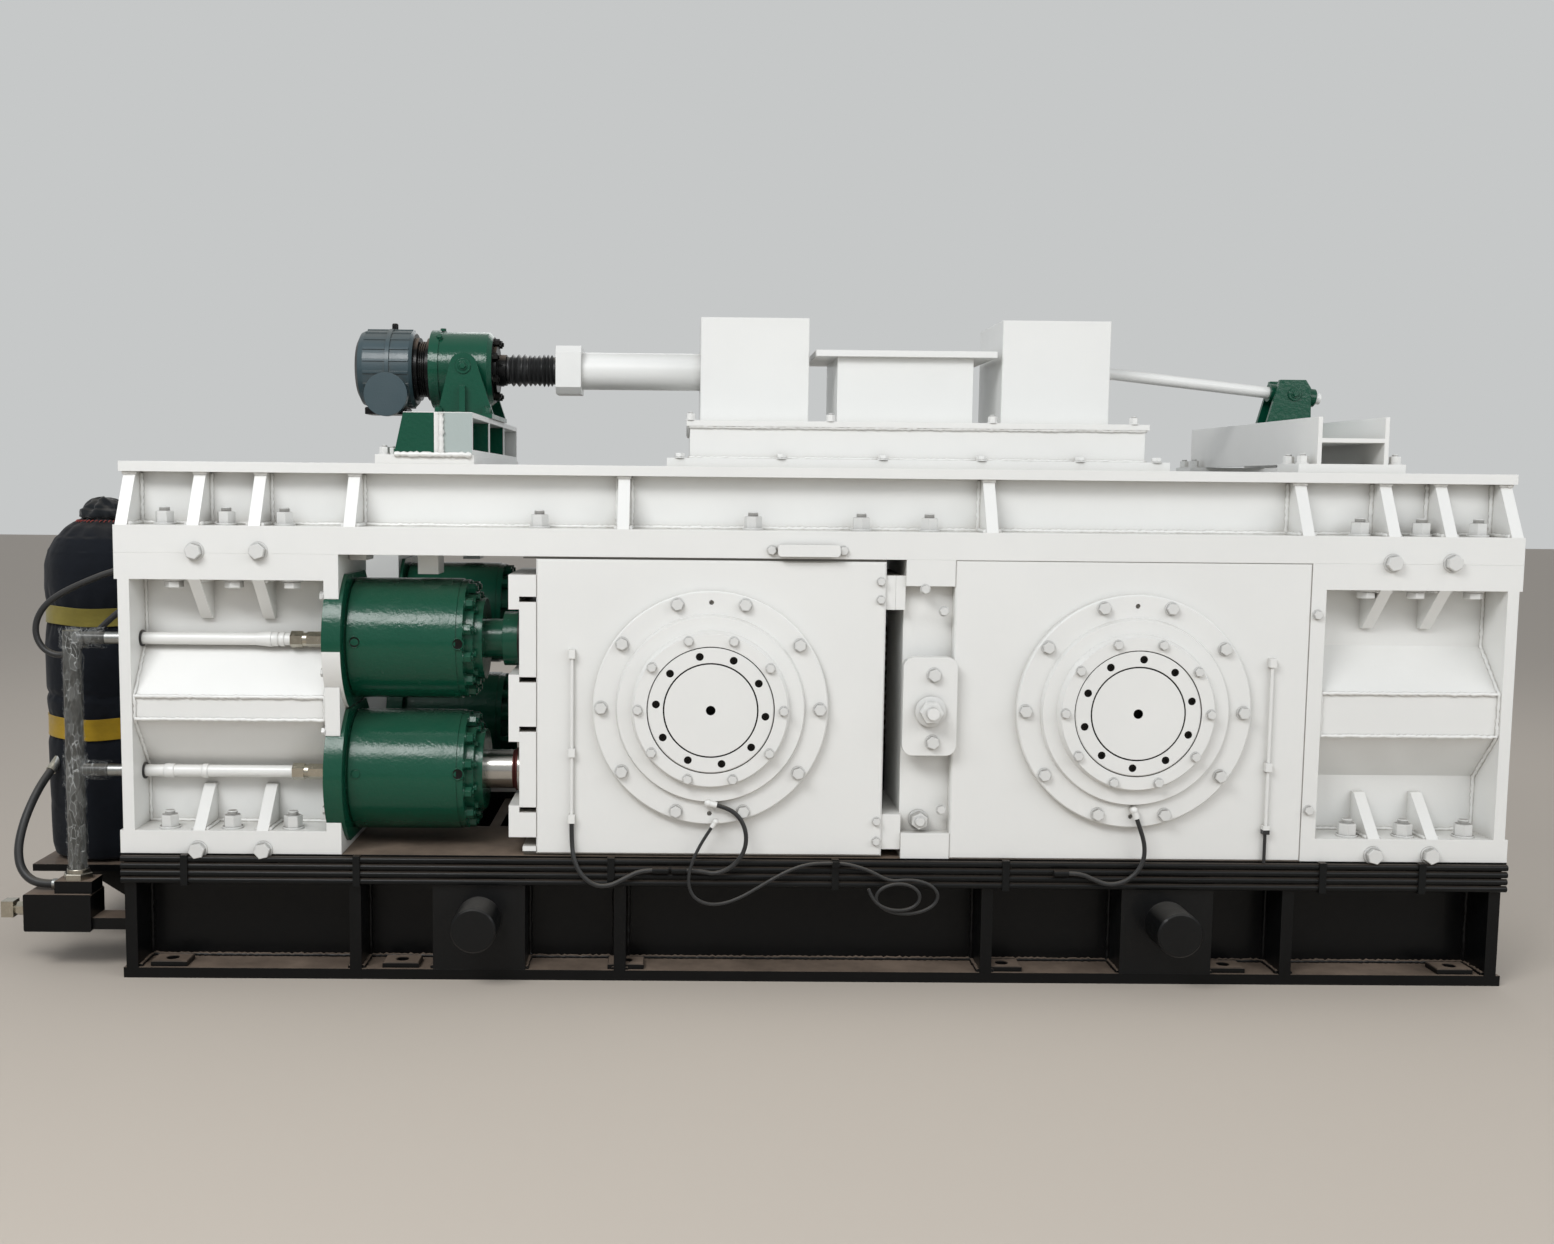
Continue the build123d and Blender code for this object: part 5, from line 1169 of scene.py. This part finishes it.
class CRUSHER_OT_pipe_fittings(bpy.types.Operator):
    """Pipe couplings, rubber rings in the post plate, and the film wrapped round the riser"""
    bl_idname = "crusher.pipe_fittings"
    bl_label = "Pipe fittings"

    def execute(self, context):
        low, high = PIPE_ROWS
        chance = random.Random(41)
        sleeves, rings, wraps, nuts = (
            Build(name) for name in ("pipe_couplings", "pipe_grommets", "clear_film", "riser_nuts"))
        for y in (-PIPE_Y, PIPE_Y):
            for x, z, length in ((-1866, high, 46), (-1830, high, 18), (-2222, low, 34),
                                 (-2100, low, 20)):
                half = length / 2 * MM
                sleeves.turned([(0.0208, -half), (0.0232, -half), (0.0246, -half + 0.003),
                                (0.0246, half - 0.003), (0.0232, half), (0.0208, half)],
                               facing((x, y, z), RIGHTWARD), 24)
            sleeves.turned([(0.0206, -0.0275), (0.0212, -0.0275), (0.0262, 0.018), (0.0262, 0.0275),
                            (0.0206, 0.0275)], facing((-1892.5, y, high), RIGHTWARD), 24)
            for z in PIPE_ROWS:
                rings.turned([(0.0212, -0.002), (0.0275, -0.002), (0.029, 0.003), (0.0275, 0.007),
                              (0.0212, 0.006), (0.0212, -0.002)],
                             facing((-2310, y, z), RIGHTWARD), 28)
            for start, way, length, radius in (
                    ((RISER_X, y, 352), UPWARD, 776, 34), ((RISER_X, y, 1118), UPWARD, 70, 41),
                    ((-2560, y, high), RIGHTWARD, 128, 35), ((RISER_X, y, 640), UPWARD, 112, 40),
                    ((-2560, y, low), RIGHTWARD, 130, 33)):
                crumpled_wrap(wraps, start, way, length * MM, radius * MM, chance.uniform(0, 50))
            at = facing((RISER_X, y, 317), UPWARD)
            nuts.prism(hexagon(0.086), 0.0, 0.022, at, 0.003)
            nuts.turned([(0.036, 0.022), (0.036, 0.034), (0.0345, 0.036), (0.031, 0.036)], at, 28)
        sleeves.finish(white_enamel(), "frame", "white_enamel")
        rings.finish(bellows_rubber(), "frame", "black_rubber")
        wraps.finish(clear_film(), "frame", "galvanised_pipe", 20)
        nuts.finish(bare_fitting(), "frame", "galvanised_pipe")
        return {"FINISHED"}


def crumpled_wrap(piece, start, way, length, radius, seed):
    """Film wound round a pipe, creased at random."""
    steps = max(6, round(length / 0.008))
    heights = [length * i / steps for i in range(steps + 1)]
    piece.skin([ring(36, lambda angle: radius + 0.004 * round_noise(angle, 2.2, height * 24 + seed)
                     + 0.003 * abs(round_noise(angle, 5, height * 70, seed)), height)
                for height in heights], facing(start, way))


class CRUSHER_OT_actuator(bpy.types.Operator):
    """Bolts of the gate actuator, its stand and the cross beam, and the motor's foot"""
    bl_idname = "crusher.actuator"
    bl_label = "Actuator fittings"

    def execute(self, context):
        def standing(z, *places):
            return [((x, y, z), UPWARD) for x, y in places]

        green = {"coat": green_enamel, "slot": "green_enamel"}
        bolts("gearbox_end_nuts",
              bolt_circle((-1182, 0, ACTUATOR_Z), 107, around(8, math.pi / 8), RIGHTWARD),
              17 * MM, 51, nut_on_stud, socket_steel_and_port_shade, "green_enamel", "actuator", both=False)
        shoulder = [((-1379, 143 * math.cos(a), ACTUATOR_Z + 143 * math.sin(a)),
                     (0, math.cos(a), math.sin(a))) for a in (math.pi * 0.5, math.pi * 0.72)]
        bolts("gearbox_plugs", shoulder, 13 * MM, 52, body="actuator", both=False, **green)
        bolts("pivot_bolts", [((PIVOT_X, -198, ACTUATOR_Z), FRONTWARD)], 30 * MM, 53, pivot_cap,
              **green)
        bolts("bracket_bolts", standing(STAND_TOP + 16, (PIVOT_X - 88, -213), (PIVOT_X + 88, -213)),
              18 * MM, 54, nut_on_stud, **green)
        bolts("stand_bolts", standing(BEAM_TOP + 30, (-1478, -640), (-1478, -500)), 20 * MM, 55,
              nut_on_stud, white_enamel)
        bolts("cross_beam_bolts",
              standing(BEAM_TOP + 30, (1653, -610), (1653, -490), (1971, -610), (1971, -490)),
              22 * MM, 56, nut_on_stud, white_enamel)
        bolts("adjuster_pins", [((1838, -60, 2056), FRONTWARD)], 26 * MM, 57, pivot_cap, **green)
        bolts("subframe_bolts",
              standing(SUBFRAME_LOW, *[(x, -565) for x in (-480, -130, 220, 560, 900, 1165)]),
              20 * MM, 58, coat=white_enamel)
        bolts("chute_plate_bolts",
              standing(SUBFRAME_TOP, *[(x, -538) for x in (-443, 40, 600, 1090)]), 18 * MM, 59,
              nut_on_stud, white_enamel)
        foot = Build("motor_foot")
        foot.prism([(-0.075, -0.07), (0.062, -0.07), (0.075, -0.05), (0.075, 0.06), (-0.062, 0.06),
                    (-0.075, 0.04)], 0.0, 0.026, facing((-1570, -95, 1942), UPWARD), 0.004)
        foot.turned([(0.012, 0.0), (0.012, 0.02), (0.009, 0.024), (0, 0.024)],
                    facing((-1560, 0, ACTUATOR_Z + 146), UPWARD), 16)
        foot.finish(black_enamel(), "actuator", "motor_grey")
        return {"FINISHED"}


class CRUSHER_OT_bellows(bpy.types.Operator):
    """Folded rubber bellows between the gearbox nose and the push tube"""
    bl_idname = "crusher.bellows"
    bl_label = "Bellows"

    def execute(self, context):
        folds, collar, bore = context.scene.crusher_sizes.folds, 0.013, 0.0395
        low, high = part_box("actuator_bellows")
        start, end = low[0], high[0]
        length, outer = end - start, (high[2] - low[2]) / 2
        inner, chance = outer * 0.8, random.Random(61)
        profile = [(bore, 0.0), (inner, 0.0), (inner + 0.002, 0.006), (inner, collar)]
        rooms = [chance.uniform(0.75, 1.25) * (1.25 - 0.5 * i / folds) for i in range(folds)]
        rooms = [room * (length - 2 * collar) / sum(rooms) for room in rooms]
        at = collar
        for i, room in enumerate(rooms):
            crest = outer * (chance.uniform(0.93, 1.0) - 0.05 * i / folds)
            valley = inner * chance.uniform(0.94, 1.0)
            profile += [(valley, at + room * 0.06), (crest - 0.003, at + room * 0.34),
                        (crest, at + room * 0.5), (crest - 0.003, at + room * 0.66),
                        (valley, at + room * 0.94)]
            at += room
        profile += [(inner, length - collar), (inner + 0.002, length - 0.006), (inner, length),
                    (bore, length), (bore, 0.0)]
        piece = Build("bellows")
        piece.turned(profile, facing((start / MM, 0, ACTUATOR_Z), RIGHTWARD), 72)
        made = piece.finish(bellows_rubber(), None, "black_rubber", 75)
        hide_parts("actuator_bellows")
        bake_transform(made)
        return {"FINISHED"}


class CRUSHER_OT_covers(bpy.types.Operator):
    """Padded cloth covers over the two gas bottles, tied at the top and held by two bands"""
    bl_idname = "crusher.covers"
    bl_label = "Bottle covers"

    def execute(self, context):
        for word, y, seed in (("front", -BOTTLE_Y, 71), ("rear", BOTTLE_Y, 72)):
            place = Matrix.Translation(mm(BOTTLE_X, y, 0)) @ Matrix.Scale(MM, 4)
            cover = sewn_cover(f"bottle_cover_{word}", place, seed)
            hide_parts("accumulators")
            webbing(f"{word}_lower_band", place, LOWER_BAND, 76, band_webbing())
            webbing(f"{word}_upper_band", place, UPPER_BAND, 64, old_webbing())
            top = gathered_top(f"{word}_cover_top", place, seed + 2)
            stitches(f"{word}_cover_top_stitches", place)
        return {"FINISHED"}


# Half width of the cover at each height, in millimetres
COVER_SHAPE = [(318, 150), (326, 178), (345, 194), (380, 202), (500, 204), (740, 205), (772, 201),
               (806, 199), (840, 201), (900, 205), (1100, 205), (1172, 201), (1207, 199),
               (1242, 201), (1300, 205), (1385, 203), (1430, 192), (1475, 165), (1510, 130),
               (1535, 98), (1552, 74), (1562, 62)]
# Where the foot, the bands and the tie hold the cloth
HELD_HEIGHTS = [(318, 330), (772, 840), (1172, 1242), (1545, 1565)]


def cover_width(height):
    """Half width of the cover between the heights of COVER_SHAPE."""
    for (low, first), (high, second) in zip(COVER_SHAPE, COVER_SHAPE[1:]):
        if height <= high:
            break
    return first + (second - first) * ((height - low) / (high - low))


def cloth_fold(angle, height, seed):
    """Depth of the upright folds in millimetres: shallow on the sides, deep at the tied top."""
    wave = round_noise(angle, 1.6, height * 0.0016 + seed)
    narrow = round_noise(angle, 4.4, height * 0.0022 + seed * 2)
    tied = max(0.0, min(1.0, (height - 1380) / 150))
    pleats = math.sin(angle * 13 + 2.5 * wave + seed) * tied
    near = min(abs(height - LOWER_BAND), abs(height - UPPER_BAND))
    gathered = math.sin(angle * 23 + 4 * narrow + seed) * max(0.0, 1 - near / 110)
    return 7.0 * wave + 4.5 * narrow + 7.0 * pleats + 2.2 * gathered - 2.0


def sewn_cover(name, place, seed):
    """Cover cut a little wide, folded by its ties, then blown out as its padding fills it."""
    heights, height = [], COVER_FOOT
    while height < COVER_TOP:
        heights.append(height)
        height += 6.0 if height < 380 or height > 1400 else 13.0
    sides = 96
    rings = [ring(sides, lambda angle: cover_width(height) + cloth_fold(angle, height, seed),
                  height) for height in (*heights, COVER_TOP)]
    piece = Build(name)
    piece.skin(rings, place)
    foot = len(piece.points)
    top, last = foot + 1, foot - sides
    piece.points += [place @ Vector((0, 0, COVER_FOOT)), place @ Vector((0, 0, COVER_TOP))]
    for k in range(sides):
        j = (k + 1) % sides
        piece.faces += [(foot, j, k), (top, last + k, last + j)]
        piece.smooth += [True, True]
    made = piece.finish(cover_cloth(), "frame", "blue_cover", 180)
    levels = [level[0][2] for level in rings for _ in level] + [COVER_FOOT, COVER_TOP]
    held = [i for i, level in enumerate(levels)
            if any(low <= level <= high for low, high in HELD_HEIGHTS)]
    fill_out(made, held, 11 * MM)
    smooth = made.modifiers.new("finer folds", "SUBSURF")
    smooth.levels = smooth.render_levels = 1
    return made


def fill_out(made, held, most):
    """Cloth simulation of the padding's push, each point kept near the place it was cut for."""
    group = made.vertex_groups.new(name="held")
    group.add(held, 1.0, "REPLACE")
    cloth = made.modifiers.new("padding", "CLOTH")
    cloth.settings.quality = 5
    cloth.settings.mass = 0.35
    cloth.settings.use_pressure = True
    cloth.settings.uniform_pressure_force = 2.5
    cloth.settings.shrink_min = -0.03
    cloth.settings.vertex_group_mass = "held"
    cloth.settings.effector_weights.gravity = 0.0
    cloth.collision_settings.use_collision = False
    scene = bpy.context.scene
    for step in range(1, 13):
        scene.frame_set(step)
    shaped = made.evaluated_get(bpy.context.evaluated_depsgraph_get()).data
    moved = [v.co.copy() for v in shaped.vertices]
    made.modifiers.remove(cloth)
    for point, target in zip(made.data.vertices, moved):
        change = target - point.co
        if change.length > most:
            change *= most / change.length
        point.co += change
    made.data.update()
    scene.frame_set(1)


def webbing(name, place, height, tall, material):
    """Band drawn tight round the cover: a flat strip with stitched edges."""
    rings = []
    for part, out in ((-0.5, 0.0), (-0.5, 2.6), (-0.44, 3.4), (-0.4, 2.4), (0.4, 2.4), (0.44, 3.4),
                      (0.5, 2.6), (0.5, 0.0)):
        rings.append(ring(
            120, lambda angle: 206.5 + out + 2.0 * round_noise(angle, 3, height),
            lambda angle: (height + part * tall + 3.5 * math.sin(angle * 2 + height)
                           + 1.5 * math.sin(angle * 5))))
    piece = Build(name)
    piece.skin(rings, place, looped=True)
    return piece.finish(material, "frame", "blue_cover", 60)


def gathered_top(name, place, seed):
    """Black cloth bunched above the tie."""
    sides, layers, rings = 64, 22, []
    for i in range(layers):
        part = i / layers
        height = TIE_FOOT + TIE_RISE * math.sin(part * math.pi / 2)
        width = 78 * math.cos(part * math.pi / 2) ** 0.7 + (10 if 0 < part < 0.3 else 0)

        def bunch(angle):
            return round_noise(angle, 2.2, part * 3 + seed)

        def pleat(angle):
            return math.sin(angle * 9 + 3 * bunch(angle) + seed)

        def reach(angle):
            return max(0.5, width + (16 * bunch(angle) + 6 * pleat(angle)) * (1 - part * 0.6))

        rings.append(ring(sides, reach, lambda angle: height + 13 * bunch(angle) * part))
    summit = TIE_FOOT + TIE_RISE
    rings.append(ring(sides, 0.5, lambda angle: summit + 13 * round_noise(angle, 2.2, 3 + seed)))
    piece = Build(name)
    piece.skin(rings, place, caps=True)
    return piece.finish(tie_cloth(), "frame", "blue_cover", 180)


def stitches(name, place):
    """Red stitching round the foot of the gathered top."""
    thread = Build(name)
    for angle in around(40):
        first, last = (
            place @ Vector((out * math.cos(angle + turn), out * math.sin(angle + turn), height))
            for turn, height, out in ((0.0, 1538, 99), (0.09, 1545, 92)))
        thread.tube([first, first.lerp(last, 0.5) + Vector((0, 0, 2 * MM)), last], 1.9 * MM, 6)
    return thread.finish(stitch_thread(), "frame", "blue_cover")


@finish("plain floor")
def plain_floor(tree, place):
    """Even matt floor paint, a backdrop and not part of the machine"""
    return add(tree, "BsdfPrincipled", {
        "Base Color": shade(bpy.context.scene.crusher_view.floor), "Roughness": 0.8,
        "Specular IOR Level": 0.2})


class CRUSHER_OT_stage(bpy.types.Operator):
    """Plain pale floor and backdrop, with soft lamps"""
    bl_idname = "crusher.stage"
    bl_label = "Stage"

    def execute(self, context):
        view = context.scene.crusher_view
        sheet = Build("floor")
        sheet.add([(-40, -40, 0), (40, -40, 0), (40, 40, 0), (-40, 40, 0)], [(0, 1, 2, 3)])
        sheet.finish(plain_floor())
        self.sky(context, view)
        for name, power, size, place, aim in (
                ("key lamp", view.key, (3.6, 2.2), (-3.5, -5.5, 6.0), (-0.2, -0.6, 0.9)),
                ("fill lamp", view.fill, (5.0, 3.0), (5.5, -5.0, 4.0), (0.4, -0.6, 0.9)),
                ("front lamp", view.front, (8.0, 2.5), (0.2, -7.5, 6.5), (0.0, -0.7, 1.0)),
                ("rear lamp", view.fill * 0.8, (6.0, 3.0), (0.5, 6.5, 5.5), (0.0, 0.4, 1.0))):
            lamp = bpy.data.lights.new(name, "AREA")
            lamp.shape, lamp.size, lamp.size_y, lamp.energy = "RECTANGLE", size[0], size[1], power
            made = bpy.data.objects.new(name, lamp)
            context.scene.collection.objects.link(made)
            made.location = place
            made.rotation_euler = (Vector(aim) - Vector(place)).to_track_quat("-Z", "Y").to_euler()
        context.scene.view_settings.view_transform = "Standard"
        return {"FINISHED"}

    def sky(self, context, view):
        """Even light all round, and the backdrop where it is seen, mirrored or shines through."""
        world = bpy.data.worlds.new("soft studio")
        context.scene.world = world
        world.use_nodes = True
        tree = world.node_tree
        tree.nodes.clear()
        path = add(tree, "LightPath")
        seen = add(tree, "Math", {
            0: path.outputs["Is Camera Ray"], 1: path.outputs["Is Transmission Ray"]},
            operation="MAXIMUM")
        seen = add(tree, "Math", {0: seen, 1: path.outputs["Is Glossy Ray"]}, operation="MAXIMUM")
        light = add(tree, "Background", {"Color": (0.93, 0.96, 1.0, 1.0), "Strength": view.sky})
        shown = add(tree, "Background", {"Color": shade(view.backdrop), "Strength": 1.0})
        both = add(tree, "MixShader", {0: seen, 1: light, 2: shown})
        add(tree, "OutputWorld", {"Surface": both})


class CRUSHER_PT_panel(bpy.types.Panel):
    """Sizes, colours and the steps that dress the crusher"""
    bl_idname = "CRUSHER_PT_panel"
    bl_label = "Double Roll Crusher"
    bl_space_type = "VIEW_3D"
    bl_region_type = "UI"
    bl_category = "Crusher"

    def draw(self, context):
        for name, group in GROUPS.items():
            box = self.layout.box()
            for key in group.__annotations__:
                box.prop(getattr(context.scene, name), key)
        for step in STEPS:
            self.layout.operator(step.bl_idname)


GROUPS = {"crusher_view": CrusherView, "crusher_paint": CrusherPaint, "crusher_sizes": CrusherSizes}
STEPS = [CRUSHER_OT_camera, CRUSHER_OT_cords, CRUSHER_OT_paint, CRUSHER_OT_frame_bolts,
         CRUSHER_OT_cover_bolts, CRUSHER_OT_welds, CRUSHER_OT_base_fittings,
         CRUSHER_OT_cylinder_fittings, CRUSHER_OT_pipe_fittings, CRUSHER_OT_actuator,
         CRUSHER_OT_bellows, CRUSHER_OT_covers, CRUSHER_OT_stage]


def register():
    for name, group in GROUPS.items():
        bpy.utils.register_class(group)
        setattr(bpy.types.Scene, name, PointerProperty(type=group))
    for step in (*STEPS, CRUSHER_PT_panel):
        bpy.utils.register_class(step)


def unregister():
    for step in reversed((*STEPS, CRUSHER_PT_panel)):
        bpy.utils.unregister_class(step)
    for name, group in reversed(GROUPS.items()):
        delattr(bpy.types.Scene, name)
        bpy.utils.unregister_class(group)


def main():
    register()
    for step in STEPS:
        kind, name = step.bl_idname.split(".")
        getattr(getattr(bpy.ops, kind), name)()


if __name__ == "__main__":
    main()
